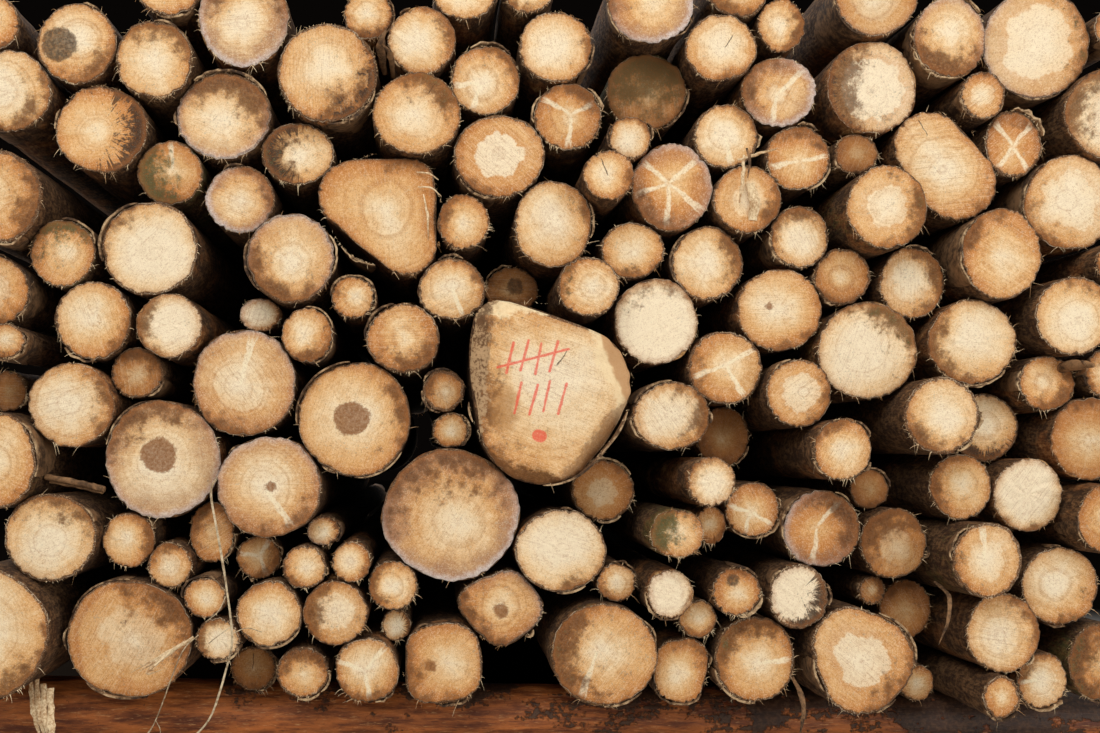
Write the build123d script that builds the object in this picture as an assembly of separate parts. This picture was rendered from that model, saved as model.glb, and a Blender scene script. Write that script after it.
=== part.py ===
from build123d import *

# A stack of softwood logs lying on two round bearers, as it stands beside a forest road.
# Frame: +X runs to the right along the sawn front, +Y runs into the stack, +Z is up.
# The origin is on the ground, in the middle of the stack's outline seen from above. Units: mm.

import math
import os
import string

import numpy as np

# Driving dimensions of the logs.
LOG_LENGTH = 3000.0  # the length that industrial softwood is cross-cut to
LENGTH_SCATTER = 35.0  # how much longer or shorter than that a log may be
BARK = 2.0  # bark left on the round, outside the sawn wood
TAPER_PER_METRE = 7.0  # a log's loss of diameter along its length
BUTT_FORWARD_SHARE = 0.6  # share of the logs whose thick end is at the front
END_SCATTER = 18.0  # how far out of line the front ends stand, apart from the tally's setbacks
SAW_TILT = 2.5  # degrees that a sawn end may lean from square
BACK_WANDER = 30.0  # how far a log's back end may lie from straight behind its front end

# Driving dimensions of the two bearers.
BEARER_LENGTH = 3400.0
BEARER_BUTT_DIAMETER = 225.0  # at the left end
BEARER_TIP_DIAMETER = 172.0  # at the right end
FRONT_BEARER_SETBACK = 310.0  # its centre line, behind the plane of the front ends
REAR_BEARER_INSET = 520.0  # its centre line, in front of the plane of the back ends

# How the pieces lie on one another.
SEAT_GAP = 0.3  # clearance that is left where one piece rests on another
SIDE_COUNT = 36  # flats around each round: every piece has the same set, so they seat flat on flat

# How the stack is parted into named pieces.
COURSE_COUNT = 9  # courses that the ordinary logs are parted into by height, alike in number
SET_COUNT = 4  # the most logs of one course that are stored together, as one set

# The tally of the logs as they show at the front, in centimetres as a forester writes it: where the
# middle of the sawn end lies, across from the middle of the stack and up from the bearers' top line,
# then its width and height under bark, and its setback behind the plane of the front ends (a log that
# stands proud of it has less than 0). It was read by eye, at 2.75 mm to the photograph's pixel, to the
# nearest half centimetre.
TALLY_UNIT = 10.0
TALLY = (
    (105, 6.5, 9.5, 10.5, 12),
    (120, 6.5, 10, 11.5, -9),
    (-84, 5, 13, 12.5, 15),
    (136.5, 8.5, 14, 15.5, 0),
    (-68.5, 8.5, 14.5, 14, 2),
    (-50, 11, 17.5, 17.5, 0),
    (151.5, 15, 18.5, 21.5, 0),
    (56, 14.5, 22, 23.5, 0),
    (14, 16.5, 28.5, 27.5, -7),
    (-115, 18, 34.5, 32.5, 0),
    (-91.5, 18, 12, 11.5, 0),
    (122, 23, 19.5, 21.5, -6),
    (-43, 21, 8, 9, 6),
    (-152.5, 20, 34.5, 35.5, -6),
    (40.5, 25, 10.5, 10.5, 0),
    (-59, 24.5, 17.5, 17.5, 0),
    (101.5, 27, 14.5, 16.5, 10),
    (-76.5, 25.5, 18, 18, 0),
    (-95, 29, 11.5, 11, 0),
    (67, 32.5, 16, 17.5, -5),
    (32, 32.5, 12.5, 13, -6),
    (91.5, 33.5, 7.5, 8, 6),
    (49.5, 33.5, 13, 13, -6),
    (-42, 33, 13.5, 13.5, 2),
    (141, 36, 21, 21.5, 0),
    (18, 35, 10.5, 10.5, 0),
    (-67.5, 37.5, 12, 12, 2),
    (-105, 38, 12, 12.5, 0),
    (-55, 39, 10.5, 11, 0),
    (-81, 39.5, 12.5, 12, 6),
    (115, 44, 18.5, 20, -11),
    (3, 44, 25, 22.5, 0),
    (-116.5, 43.5, 14.5, 15, 2),
    (95, 46.5, 18, 19.5, 2),
    (-136.5, 45, 25, 24, 0),
    (-96, 46, 12.5, 17, 6),
    (-63, 47.5, 9, 8.5, 6),
    (32.5, 49.5, 14.5, 13, -12),
    (74.5, 50.5, 21, 21, 0),
    (44.5, 51, 8.5, 10.5, 3),
    (148, 55, 15, 18.5, -9),
    (-27.5, 53, 37.5, 36, 0),
    (56, 55.5, 15, 15, 0),
    (14.5, 59.5, 17.5, 17, 6),
    (130.5, 61, 18.5, 20, 0),
    (90.5, 61.5, 11, 11, 6),
    (113, 62.5, 17, 18, 0),
    (-76.5, 60.5, 28.5, 27.5, 0),
    (41, 63.5, 12.5, 13, -14),
    (-152, 65, 24.5, 27, -3),
    (-107, 67, 31.5, 32.5, 0),
    (76.5, 72.5, 15.5, 16.5, -11),
    (148, 77, 22, 22.5, 0),
    (50.5, 76.5, 15, 17, 12),
    (-27.5, 76, 10, 9.5, 2),
    (123, 79.5, 19, 19, 6),
    (32, 80.5, 21, 18.5, -5),
    (103.5, 82, 20, 20.5, -9),
    (-54.5, 80, 31, 31.5, 0),
    (-132, 81.5, 23.5, 23, 0),
    (67.5, 88, 17.5, 18.5, -3),
    (-153.5, 85.5, 11, 11.5, 10),
    (-29.5, 87.5, 11.5, 11.5, 2),
    (-84.5, 88.5, 28.5, 29.5, 0),
    (137, 92, 15.5, 15, 0),
    (152.5, 94, 12.5, 14, 0),
    (-115, 91.5, 14.5, 14, 3),
    (48.5, 95, 20.5, 20, 0),
    (86, 100, 27, 26.5, 0),
    (-148.5, 97.5, 12, 9.5, -6),
    (-40, 101, 20, 19, 0),
    (116, 103.5, 24, 23, -2),
    (-67.5, 101.5, 14, 15, 0),
    (-105, 104, 18, 17.5, 0),
    (-125.5, 104.5, 21, 21.5, 0),
    (29, 107, 23, 23.5, 0),
    (141.5, 109, 21.5, 21, -7),
    (62.5, 110, 23, 22.5, 0),
    (-81, 108.5, 11.5, 9.5, 10),
    (-54.5, 112.5, 12, 11.5, 0),
    (-153, 112.5, 19, 19, 0),
    (9, 116, 16.5, 16, -6),
    (-29.5, 115.5, 18.5, 17, 0),
    (100, 119, 18, 19.5, 2),
    (-10, 118, 15.5, 13, 15),
    (81, 120.5, 15.5, 15.5, 2),
    (151, 123.5, 12, 12, -6),
    (43.5, 123.5, 19.5, 20.5, 1),
    (-72, 122, 24, 24.5, 0),
    (121.5, 126, 22, 24.5, -3),
    (-134.5, 123, 18, 18.5, 0),
    (-109.5, 125, 26.5, 25.5, 0),
    (23, 127, 17.5, 15.5, 0),
    (68, 131, 16, 17, 0),
    (-24, 133.5, 14, 15, 1),
    (1, 133.5, 21.5, 24, 0),
    (89, 137, 21.5, 22.5, -7),
    (-150.5, 137, 25.5, 25.5, -6),
    (143.5, 142, 25.5, 26, 0),
    (54, 141, 18.5, 18.5, 0),
    (-86, 139.5, 19, 18.5, 2),
    (33, 144, 22, 24, 0),
    (14.5, 145.5, 13.5, 13.5, -5),
    (-105, 146.5, 18, 17.5, 2),
    (-13.5, 151.5, 25, 22.5, 0),
    (68.5, 153, 17.5, 18, 0),
    (-69.5, 151.5, 20, 17, 2),
    (84.5, 154.5, 12, 11, 2),
    (127.5, 157.5, 16, 18.5, 0),
    (22, 156.5, 11.5, 11.5, -2),
    (49, 158.5, 17.5, 18, 0),
    (-122.5, 157, 25, 24, 0),
    (-37, 161, 24, 22, -2),
    (-89.5, 161.5, 26, 24, 0),
    (4, 162.5, 18.5, 18, 0),
    (153, 165.5, 25.5, 25, 0),
    (118, 170, 12, 13, -3),
    (-149, 167.5, 23, 22, 0),
    (63, 171, 20.5, 19, 0),
    (88.5, 172, 25, 25.5, 0),
    (28, 172, 22.5, 21.5, 10),
    (-18, 173, 19, 19, 0),
    (-61.5, 172.5, 27, 27, -2),
    (-107, 175, 21, 21, 0),
    (46.5, 182.5, 19.5, 18.5, 0),
    (1.5, 182.5, 20, 19.5, 0),
    (135, 185, 29.5, 30, 0),
    (-130.5, 181, 22, 22, 0),
    (109.5, 186, 20, 22, 0),
    (-35.5, 184, 18.5, 18.5, 0),
    (154, 189.5, 10.5, 10.5, 0),
    (64.5, 190, 13, 15, 1),
    (-84.5, 188.5, 25, 25.5, 0),
    (-154.5, 188, 15.5, 15.5, 0),
    (-50.5, 192, 13.5, 13.5, 3),
    (27.5, 194.5, 24, 23.5, 0),
    (89, 197.5, 23, 23, 0),
    (-23.5, 199, 18, 18, 0),
    (-6, 199, 14.5, 14.5, 0),
    (52, 200, 17.5, 17.5, 0),
    (-105, 198.5, 19, 19, 0),
)

# Logs whose ends aren't near round: name, across, up and setback as in the tally, and the lobes of the
# sawn end, each the place of its middle from the log's own middle, across and up, and its radius.
SHAPED_LOGS = (
    ("broad_marked_log", -1.5, 86, -6, ((-14.5, 18.5, 6), (7, 2, 15), (-2, -7.5, 17.5), (-13, 5, 8.5))),
    ("heart_shaped_log", -48, 135.5, 0, ((9, 9.5, 6.5), (-7, 6, 9.5), (8, -8, 8))),
    ("twin_stem_log", 109, 150, 0, ((-4, 5.5, 9.5), (3.5, -4.5, 10.5))),
    ("diamond_log", -13.5, 27.5, 0, ((-6, 1.5, 5.5), (2, 3.5, 7), (5.5, 0, 6.5), (0.5, -4.5, 6))),
    ("square_log", -31, 12.5, 0, ((-3.5, 3.5, 7), (2.5, 3.5, 7.5), (-4, -4.5, 6.5), (2.5, -2.5, 8))),
    ("eight_sided_log", 85, 14.5, -4, ((-3.5, 4, 10.5), (2, 0.5, 11.5), (-1, -4, 10.5))),
    ("blunt_log", 36.5, 10, 0, ((-1.5, 2.5, 6), (1.5, 3, 6), (-1.5, -2.5, 6), (0.5, -3.5, 5.5))),
)

# How the settling is worked out.
SETTLING_COUNT = 1000  # steps that draw the ends to their places and push overlapping logs apart
CLEARING_COUNT = 400  # steps after them that only push apart
SEATING_COUNT = 60  # the most groups of loose logs that are then seated
REFRESH_COUNT = 100  # steps after which the near pairs are looked up again
PLACE_COUNT = 12  # places along each pair of logs where their gap is measured
PAST_THE_ENDS = 12.0  # how far past the overlap of two logs the first and last of those places lie
NEAR = 90.0  # logs whose rounds are farther apart than this aren't compared
FRONT_SAG = 6.0  # how far a front end is drawn below its tallied place
BACK_SAG = 20.0  # how far a back end is
FRONT_HOLD_SHARE = 0.02  # share of the way to its place that a front end is drawn in the first step
BACK_HOLD_SHARE = 0.006
PUSH_SHARE = 1.3  # share of an overlap that one step takes away
SEAT_REACH = 0.7  # a log is seated when another piece is as near as this
LEAST_SWING_SHARE = 0.3  # the least share of a seating move that the back end makes

# How far an ordinary log is from round, as a share of its radius.
SWELLING_SHARE = 0.012
MM_PER_METRE = 1000.0

ANGLES = 2.0 * math.pi * np.arange(SIDE_COUNT) / SIDE_COUNT
NORMALS = np.stack([np.cos(ANGLES), np.sin(ANGLES)], axis=1)
OPPOSITE = (np.arange(SIDE_COUNT) + SIDE_COUNT // 2) % SIDE_COUNT
UPWARD = np.array((0.0, 1.0))
BEARER_DEPTHS = (FRONT_BEARER_SETBACK, LOG_LENGTH - REAR_BEARER_INSET)


def spread(index, step):
    """A number from -1 to 1 for each log that looks irregular and is the same every time. The step is
    any odd share, another one for each thing that is spread."""
    return 2.0 * ((index * step) % 1.0) - 1.0


def round_end(index, width, height):
    """The distance of each flat from the middle of a near round end: an ellipse, slightly three- or
    four-cornered."""
    mean, flattening = (width + height) / 4.0, (width - height) / 4.0
    corners = 3 + index % 2
    swelling = mean * SWELLING_SHARE * (1.0 + spread(index, 0.7549) / 2.0)
    turn = math.pi * spread(index, 0.5698)
    return mean + flattening * np.cos(2.0 * ANGLES) + swelling * np.cos(corners * ANGLES + turn)


def lobed_end(lobes):
    """The distance of each flat from the middle of an end that is several circles wrapped in one skin."""
    reach = [NORMALS @ np.array((across, up)) + radius for across, up, radius in lobes]
    return np.max(reach, axis=0)


def corners_of(flats):
    """The corners where each flat of a section meets the next one, as places across and up."""
    after = np.roll(flats, -1, axis=-1)
    sine, cosine = np.sin(ANGLES), np.cos(ANGLES)
    sine_after, cosine_after = np.roll(sine, -1), np.roll(cosine, -1)
    turn = math.sin(2.0 * math.pi / SIDE_COUNT)
    across = (flats * sine_after - after * sine) / turn
    up = (after * cosine - flats * cosine_after) / turn
    return np.stack([across, up], axis=-1)


def bearer_top(across):
    """The height of the bearers' top line, which falls from the thick end to the thin one."""
    share = across / BEARER_LENGTH + 0.5
    return BEARER_BUTT_DIAMETER + share * (BEARER_TIP_DIAMETER - BEARER_BUTT_DIAMETER)


class Stack:
    """All the logs: the two ends of each one's middle line, its flats at the front and its taper."""

    def __init__(self):
        self.names = [None] * len(TALLY) + [shaped[0] for shaped in SHAPED_LOGS]
        places = [(row[0], row[1], row[4]) for row in TALLY] + [shaped[1:4] for shaped in SHAPED_LOGS]
        self.places = np.array(places, dtype=float)
        across, up, setback = TALLY_UNIT * self.places.T
        ends = [round_end(number, row[2], row[3]) for number, row in enumerate(TALLY)]
        ends += [lobed_end(shaped[4]) for shaped in SHAPED_LOGS]
        index = np.arange(len(self.names))
        self.flats = TALLY_UNIT * np.array(ends) + BARK
        self.tallied = np.stack([across, up + bearer_top(across)], axis=1)
        self.front_y = setback + END_SCATTER * spread(index, 0.6180)
        self.back_y = self.front_y + LOG_LENGTH + LENGTH_SCATTER * spread(index, 0.4142)
        taper = TAPER_PER_METRE * (self.back_y - self.front_y) / MM_PER_METRE
        thinner = taper / 2.0 / self.flats.mean(axis=1)
        butt_forward = (index * 0.3247) % 1.0 < BUTT_FORWARD_SHARE
        self.back_scale = np.where(butt_forward, 1.0 - thinner, 1.0 + thinner)
        wander = np.stack([spread(index, 0.7071), spread(index, 0.2360)], axis=1)
        self.front_place = self.tallied - FRONT_SAG * UPWARD
        self.back_place = self.tallied - BACK_SAG * UPWARD + BACK_WANDER * wander
        self.front = self.tallied.copy()
        self.back = self.tallied.copy()

    def near_pairs(self):
        """Every two logs that could touch, the lower number first."""
        radius = self.flats.max(axis=1) * np.maximum(self.back_scale, 1.0)
        reach = radius[:, None] + radius[None, :] + NEAR
        apart = [np.linalg.norm(end[:, None] - end[None, :], axis=2) for end in (self.front, self.back)]
        return np.nonzero(np.triu(np.minimum(*apart) < reach, 1))

    def along(self, which, y):
        """The middle and the size of the logs' sections at the depth y, and how far along that is."""
        share = (y - self.front_y[which, None]) / (self.back_y - self.front_y)[which, None]
        middle = self.front[which, None] + share[..., None] * (self.back - self.front)[which, None]
        size = 1.0 + share * (self.back_scale[which, None] - 1.0)
        return middle, size, share

    def gaps(self, first, second):
        """For each pair and compared place: the gap, the direction across it and the shares along.

        Two sections with the same set of flats are as far apart as the best of those flats says."""
        low = np.maximum(self.front_y[first], self.front_y[second]) - PAST_THE_ENDS
        high = np.minimum(self.back_y[first], self.back_y[second]) + PAST_THE_ENDS
        y = low[:, None] + (high - low)[:, None] * np.linspace(0.0, 1.0, PLACE_COUNT)
        middle_1, size_1, share_1 = self.along(first, y)
        middle_2, size_2, share_2 = self.along(second, y)
        apart = (middle_2 - middle_1) @ NORMALS.T
        apart -= size_1[..., None] * self.flats[first][:, None]
        apart -= size_2[..., None] * self.flats[second][:, OPPOSITE][:, None]
        widest = apart.argmax(axis=2)
        gap = np.take_along_axis(apart, widest[..., None], axis=2)[..., 0]
        return gap, NORMALS[widest], share_1, share_2

    def bearer_gaps(self, y):
        """Each log's height above a bearer that lies at the depth y, and how far along that is."""
        every = np.arange(len(self.names))
        middle, size, share = self.along(every, np.full((len(every), 1), y))
        corner = middle + size[..., None] * corners_of(self.flats)
        return (corner[..., 1] - bearer_top(corner[..., 0])).min(axis=1), share

    def push_apart(self, first, second):
        """Moves the ends of pieces that are nearer than the seat gap, each by the mean of its pushes."""
        moved = [np.zeros_like(self.front), np.zeros_like(self.back)]
        count = [np.zeros(len(self.names)), np.zeros(len(self.names))]

        def add(which, short, away, share, weight):
            for end, part in enumerate((1.0 - share, share)):
                push = (short / weight * part)[..., None] * away
                np.add.at(moved[end], which, push.sum(axis=1))
                np.add.at(count[end], which, (part * (short > 0.0)).sum(axis=1))

        gap, away, share_1, share_2 = self.gaps(first, second)
        short = np.maximum(SEAT_GAP - gap, 0.0)
        weight = (1.0 - share_1) ** 2 + share_1**2 + (1.0 - share_2) ** 2 + share_2**2
        add(first, short, -away, share_1, weight)
        add(second, short, away, share_2, weight)
        for y in BEARER_DEPTHS:
            height, share = self.bearer_gaps(y)
            lift = np.maximum(SEAT_GAP - height, 0.0)[:, None]
            add(np.arange(len(self.names)), lift, UPWARD, share, (1.0 - share) ** 2 + share**2)
        self.front += PUSH_SHARE * moved[0] / np.maximum(count[0], 1.0)[:, None]
        self.back += PUSH_SHARE * moved[1] / np.maximum(count[1], 1.0)[:, None]

    def groups(self, first, second, gap):
        """A number for each log, the same for all that are joined by seats; 0 is the bearers' group."""
        group = np.arange(1, len(self.names) + 1)
        for y in BEARER_DEPTHS:
            group[self.bearer_gaps(y)[0] < SEAT_REACH] = 0
        seated = gap.min(axis=1) < SEAT_REACH
        before = None
        while not np.array_equal(group, before):
            before = group.copy()
            low = np.minimum(group[first], group[second])[seated]
            np.minimum.at(group, first[seated], low)
            np.minimum.at(group, second[seated], low)
        return group

    def seat_loose_group(self, first, second):
        """Moves the lowest group that is seated on nothing on to the nearest log; False if there is none."""
        gap, away, share_1, share_2 = self.gaps(first, second)
        group = self.groups(first, second, gap)
        loose = group > 0
        if not loose.any():
            return False
        member = group == group[loose][self.back[loose, 1].argmin()]
        crossing = member[first] != member[second]
        reach = np.where(crossing[:, None], gap, np.inf)
        pair, place = np.unravel_index(reach.argmin(), reach.shape)
        leads = member[first[pair]]
        toward = away[pair, place] if leads else -away[pair, place]
        share = max((share_1 if leads else share_2)[pair, place], LEAST_SWING_SHARE)
        step = (gap[pair, place] - SEAT_GAP) * toward
        self.back[member] += step * share
        self.front[member] += step * (1.0 - share)
        return True

    def settle(self):
        """Draws every end towards its place, pushes overlapping logs apart and seats what is left loose."""
        for step in range(SETTLING_COUNT):
            if step % REFRESH_COUNT == 0:
                first, second = self.near_pairs()
            ease = (1.0 - step / SETTLING_COUNT) ** 2
            self.front += FRONT_HOLD_SHARE * ease * (self.front_place - self.front)
            self.back += BACK_HOLD_SHARE * ease * (self.back_place - self.back)
            self.push_apart(first, second)
        for _ in range(CLEARING_COUNT):
            self.push_apart(first, second)
        for _ in range(SEATING_COUNT):
            if not self.seat_loose_group(first, second):
                break
            for _ in range(CLEARING_COUNT // 10):
                self.push_apart(first, second)

    def centre(self):
        """Moves the stack, front bearer included, so that the origin is in the middle of its outline."""
        low, high = self.outline()
        middle = (low + high) / 2.0
        self.front[:, 0] -= middle[0]
        self.back[:, 0] -= middle[0]
        self.front_y -= middle[1]
        self.back_y -= middle[1]
        return middle

    def rings(self, number):
        """The corners of a log's two sawn ends, each cut on a plane that leans a little from square."""
        corners = corners_of(self.flats[number])
        near = self.front[number] + corners
        far = self.back[number] + corners * self.back_scale[number]
        near = np.insert(near, 1, self.front_y[number], axis=1)
        far = np.insert(far, 1, self.back_y[number], axis=1)
        lean = math.tan(math.radians(SAW_TILT))
        cut = []
        for end, (middle, y) in enumerate(((self.front, self.front_y), (self.back, self.back_y))):
            across = lean * spread(2 * number + end, 0.8191)
            up = lean * spread(2 * number + end, 0.6711)
            facing = np.array((-across, 1.0, -up))
            on_plane = np.insert(middle[number], 1, y[number])
            share = (on_plane - near) @ facing / ((far - near) @ facing)
            cut.append(near + share[:, None] * (far - near))
        return cut

    def outline(self):
        """The least and greatest X and Y of the logs and the bearers."""
        corners = np.concatenate([ring for number in range(len(self.names)) for ring in self.rings(number)])
        low, high = corners.min(axis=0)[:2], corners.max(axis=0)[:2]
        low[0] = min(low[0], -BEARER_LENGTH / 2.0)
        high[0] = max(high[0], BEARER_LENGTH / 2.0)
        return low, high


def skin(near, far):
    """A closed solid between two like rings of corners: one flat for each side and the two ends."""
    near = [Vector(*corner) for corner in near]
    far = [Vector(*corner) for corner in far]
    faces = [Face(Wire.make_polygon(near)), Face(Wire.make_polygon(far))]
    for this in range(len(near)):
        following = (this + 1) % len(near)
        side = (near[this], near[following], far[following], far[this])
        faces.append(Face(Wire.make_polygon(side)))
    return Solid(Shell(faces))


def bearer(shift, depth):
    """A round that lies across under the logs: it rests on the ground along its whole length."""
    rings = []
    for end, diameter in ((-0.5, BEARER_BUTT_DIAMETER), (0.5, BEARER_TIP_DIAMETER)):
        corners = corners_of(np.full(SIDE_COUNT, diameter / 2.0))
        ring = np.empty((SIDE_COUNT, 3))
        ring[:, 0] = end * BEARER_LENGTH - shift[0]
        ring[:, 1] = corners[:, 0] + depth - shift[1]
        ring[:, 2] = corners[:, 1] + diameter / 2.0
        rings.append(ring)
    return skin(*rings)


def sets_of_logs(stack):
    """Parts the ordinary logs into courses by their tallied height, and deals each course out into sets
    from left to right, so that the logs of one set lie well apart."""
    across, up, _ = stack.places.T
    ordinary = [number for number, name in enumerate(stack.names) if not name]
    ordinary.sort(key=lambda number: up[number])
    sets = {}
    for course, numbers in enumerate(np.array_split(ordinary, COURSE_COUNT), 1):
        numbers = sorted(numbers, key=lambda number: across[number])
        set_total = math.ceil(len(numbers) / SET_COUNT)
        for place in range(set_total):
            letter = string.ascii_lowercase[place]
            sets[f"course_{course}_logs_{letter}"] = numbers[place::set_total]
    return sets


def write(name, solids):
    """Stores one piece, or one set of like pieces, under its name."""
    piece = Compound(label=name, children=solids) if len(solids) > 1 else solids[0]
    piece.label = name
    export_step(piece, f"parts/{name}.step")


stack = Stack()
stack.settle()
shift = stack.centre()
logs = [skin(*stack.rings(number)) for number in range(len(stack.names))]

os.makedirs("parts", exist_ok=True)
for name, depth in zip(("front_bearer", "rear_bearer"), BEARER_DEPTHS):
    write(name, [bearer(shift, depth)])
for number, name in enumerate(stack.names):
    if name:
        write(name, [logs[number]])
for name, numbers in sets_of_logs(stack).items():
    write(name, [logs[number] for number in numbers])
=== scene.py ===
# %% [markdown]
# # A stack of softwood logs
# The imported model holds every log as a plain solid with 36 flats. This lesson dresses each of them:
# it reads where a log's two sawn ends lie, wraps a finer skin round them, paints the sawn wood and
# the bark from numbers that each log carries with it, and then adds what is loose or torn.
# Everything is in metres: +X runs along the sawn front, +Y into the stack, +Z up.

import math

import bmesh
import bpy
import numpy as np
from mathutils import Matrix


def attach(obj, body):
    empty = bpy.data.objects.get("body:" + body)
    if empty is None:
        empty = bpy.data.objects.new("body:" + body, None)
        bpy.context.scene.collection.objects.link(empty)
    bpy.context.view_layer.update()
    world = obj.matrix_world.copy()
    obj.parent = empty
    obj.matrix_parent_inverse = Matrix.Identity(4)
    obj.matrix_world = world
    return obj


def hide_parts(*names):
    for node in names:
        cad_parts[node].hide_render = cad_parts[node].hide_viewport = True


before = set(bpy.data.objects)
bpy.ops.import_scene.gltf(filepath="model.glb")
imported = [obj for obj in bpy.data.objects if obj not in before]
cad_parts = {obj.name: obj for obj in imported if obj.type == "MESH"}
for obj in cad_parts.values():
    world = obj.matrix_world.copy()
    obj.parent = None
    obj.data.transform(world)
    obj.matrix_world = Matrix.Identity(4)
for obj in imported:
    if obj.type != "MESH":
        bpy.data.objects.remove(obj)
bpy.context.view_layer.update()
bearer_names = ("front_bearer", "rear_bearer")
log_nodes = sorted(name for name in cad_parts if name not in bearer_names)
face_total = 0

# %% [markdown]
# ## Reading the logs
# A node holds up to four logs as loose triangles. They could be told apart by cutting the mesh up
# with Blender's own operators, but numpy is quicker: after the doubles are merged, each corner takes
# the lowest number among its neighbours until nothing changes, and then every log has one number.
# Each log has 36 corners at its front end and 36 at its back end.

# %% Finding each log's two sawn ends
SIDE_COUNT = 36
MERGE_DISTANCE = 1e-5
FULL_TURN = 2.0 * math.pi


def merged_copy(node):
    """The corners and edges of a node, with its doubles merged."""
    work = bmesh.new()
    work.from_mesh(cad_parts[node].data)
    bmesh.ops.remove_doubles(work, verts=work.verts, dist=MERGE_DISTANCE)
    mesh = bpy.data.meshes.new("merged")
    work.to_mesh(mesh)
    work.free()
    corners = np.empty(3 * len(mesh.vertices), np.float32)
    edges = np.empty(2 * len(mesh.edges), np.int32)
    mesh.vertices.foreach_get("co", corners)
    mesh.edges.foreach_get("vertices", edges)
    bpy.data.meshes.remove(mesh)
    return corners.reshape(-1, 3).astype(float), edges.reshape(-1, 2)


def islands(count, edges):
    """A number for each corner, the same for all corners that edges join: the lowest one wins."""
    label = np.arange(count)
    before = None
    while not np.array_equal(label, before):
        before = label.copy()
        low = label[edges].min(axis=1)
        np.minimum.at(label, edges[:, 0], low)
        np.minimum.at(label, edges[:, 1], low)
    return label


def seen_along(axis, places):
    """What is left of some places when they are looked at along an axis: across and up."""
    return np.delete(places, axis, axis=-1)


def in_turn(ring, axis):
    """The corners of a ring put in turn by their angle round its middle, looking along the axis."""
    off = seen_along(axis, ring - ring.mean(axis=0))
    return ring[np.argsort(np.arctan2(off[:, 1], off[:, 0]))]


def two_ends(corners, axis):
    """The two end rings of one solid, the second turned to start at the same flat as the first: of
    all turns, the one at which its outline differs least."""
    middle = (corners[:, axis].min() + corners[:, axis].max()) / 2.0
    near = in_turn(corners[corners[:, axis] < middle], axis)
    far = in_turn(corners[corners[:, axis] >= middle], axis)
    wanted, shape = (seen_along(axis, ring - ring.mean(axis=0)) for ring in (near, far))
    misfit = [np.abs(np.roll(shape, -k, axis=0) - wanted).sum() for k in range(SIDE_COUNT)]
    return near, np.roll(far, -int(np.argmin(misfit)), axis=0)


def logs_in(node):
    """The front and back rings of each log of a node, from left to right."""
    corners, edges = merged_copy(node)
    label = islands(len(corners), edges)
    found = [two_ends(corners[label == one], 1) for one in np.unique(label)]
    return sorted(found, key=lambda ends: ends[0][:, 0].mean())


found = [(node, *ends) for node in log_nodes for ends in logs_in(node)]
node_of, fronts, backs = (np.array(column) for column in zip(*found))
front_middle, back_middle = fronts.mean(axis=1), backs.mean(axis=1)
radius = np.linalg.norm(seen_along(1, fronts - front_middle[:, None]), axis=2).mean(axis=1)
log_total = len(fronts)
print(log_total, "logs, from", round(2 * radius.min(), 3), "to", round(2 * radius.max(), 3), "m thick")

# %% [markdown]
# ## What makes one log differ from the next
# All sawn ends share one material, so what differs is stored on the mesh as attributes: how pale the
# wood is, how far its pale heart reaches, how dirty it is and on which side, the knots that show as
# pale rays. Every log starts with numbers of its own that look irregular. The ones that stand out
# are then set in a table, as they were read off. It picks a log by a place on its sawn end,
# in centimetres across from the stack's middle and up from the ground.

# %% Numbers for every log
every_log = np.arange(log_total)


def spread(step, low=-1.0, high=1.0):
    """An irregular number for each log from low to high: the fraction of its number times a step."""
    return low + (high - low) * ((every_log * step + 0.5 * step) % 1.0)


looks = {
    "tone": spread(0.6180, -0.45, 0.45),  # -1 dark amber wood, 1 pale dry wood
    "heart": spread(0.7549, 0.4, 0.8),  # share of the radius that the pale heart takes
    "sharp": spread(0.1327, -0.6, 0.4).clip(0.0, 1.0),  # how sharp the pale heart's border is
    "grime": spread(0.5698, 0.05, 0.6),  # grey-brown dirt
    "grime_side": spread(0.3247, 0.0, 360.0),  # degrees, counted from the right, anticlockwise
    "moss": spread(0.2360, -1.2, 0.4).clip(0.0, 1.0),
    "kerf": spread(0.4142, 0.1, 1.0),  # how plainly the saw's lines show
    "kerf_turn": spread(0.7320, 0.0, 180.0),
    "mould": spread(0.9021, -2.0, 0.5).clip(0.0, 1.0),
    "bark": spread(0.5497, 0.001, 0.006),  # thickness of the bark that shows round the end
    "pink": spread(0.8123, -1.5, 0.6).clip(0.0, 1.0),  # pinkish inner bark and weathered sapwood
    "seed": spread(0.3820, 0.0, 40.0),
    "pith_x": spread(0.4495, -0.12, 0.12),  # where the pith lies, as a share of the radius
    "pith_z": spread(0.6458, -0.12, 0.12),
    "fray": spread(0.3105, 0.3, 1.3),  # how many fibres hang from the rim
}
CARRIED = {  # the attributes of the mesh, each with the three numbers that it holds
    "timber": ("tone", "heart", "sharp"),
    "weather": ("grime", "grime_side", "moss"),
    "saw": ("kerf", "kerf_turn", "mould"),
    "knots": ("rays", "bark", "seed"),
    "ray_turns": ("ray_0", "ray_1", "ray_2"),  # the turns of the pale knot rays
    "more_turns": ("ray_3", "ray_4", "pink"),
    "stain": ("stain_x", "stain_z", "stain"),  # a rotten heart's place and radius, below 0 for earth
    "crack": ("crack_turn", "crack_from", "crack_to"),  # from and to are shares of the radius
}
RAY_KEYS = [f"ray_{seat}" for seat in range(5)]
SEVERAL = {"rays": RAY_KEYS, "stain": CARRIED["stain"], "crack": CARRIED["crack"]}
for key in ("rays", *(name for names in SEVERAL.values() for name in names)):
    looks[key] = np.zeros(log_total)


def log_at(across, up):
    """The number of the log whose sawn end lies nearest to a place, given in centimetres."""
    off = front_middle[:, [0, 2]] - np.array((across, up)) / 100.0
    return int(np.argmin(np.linalg.norm(off, axis=1) - radius))


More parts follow.
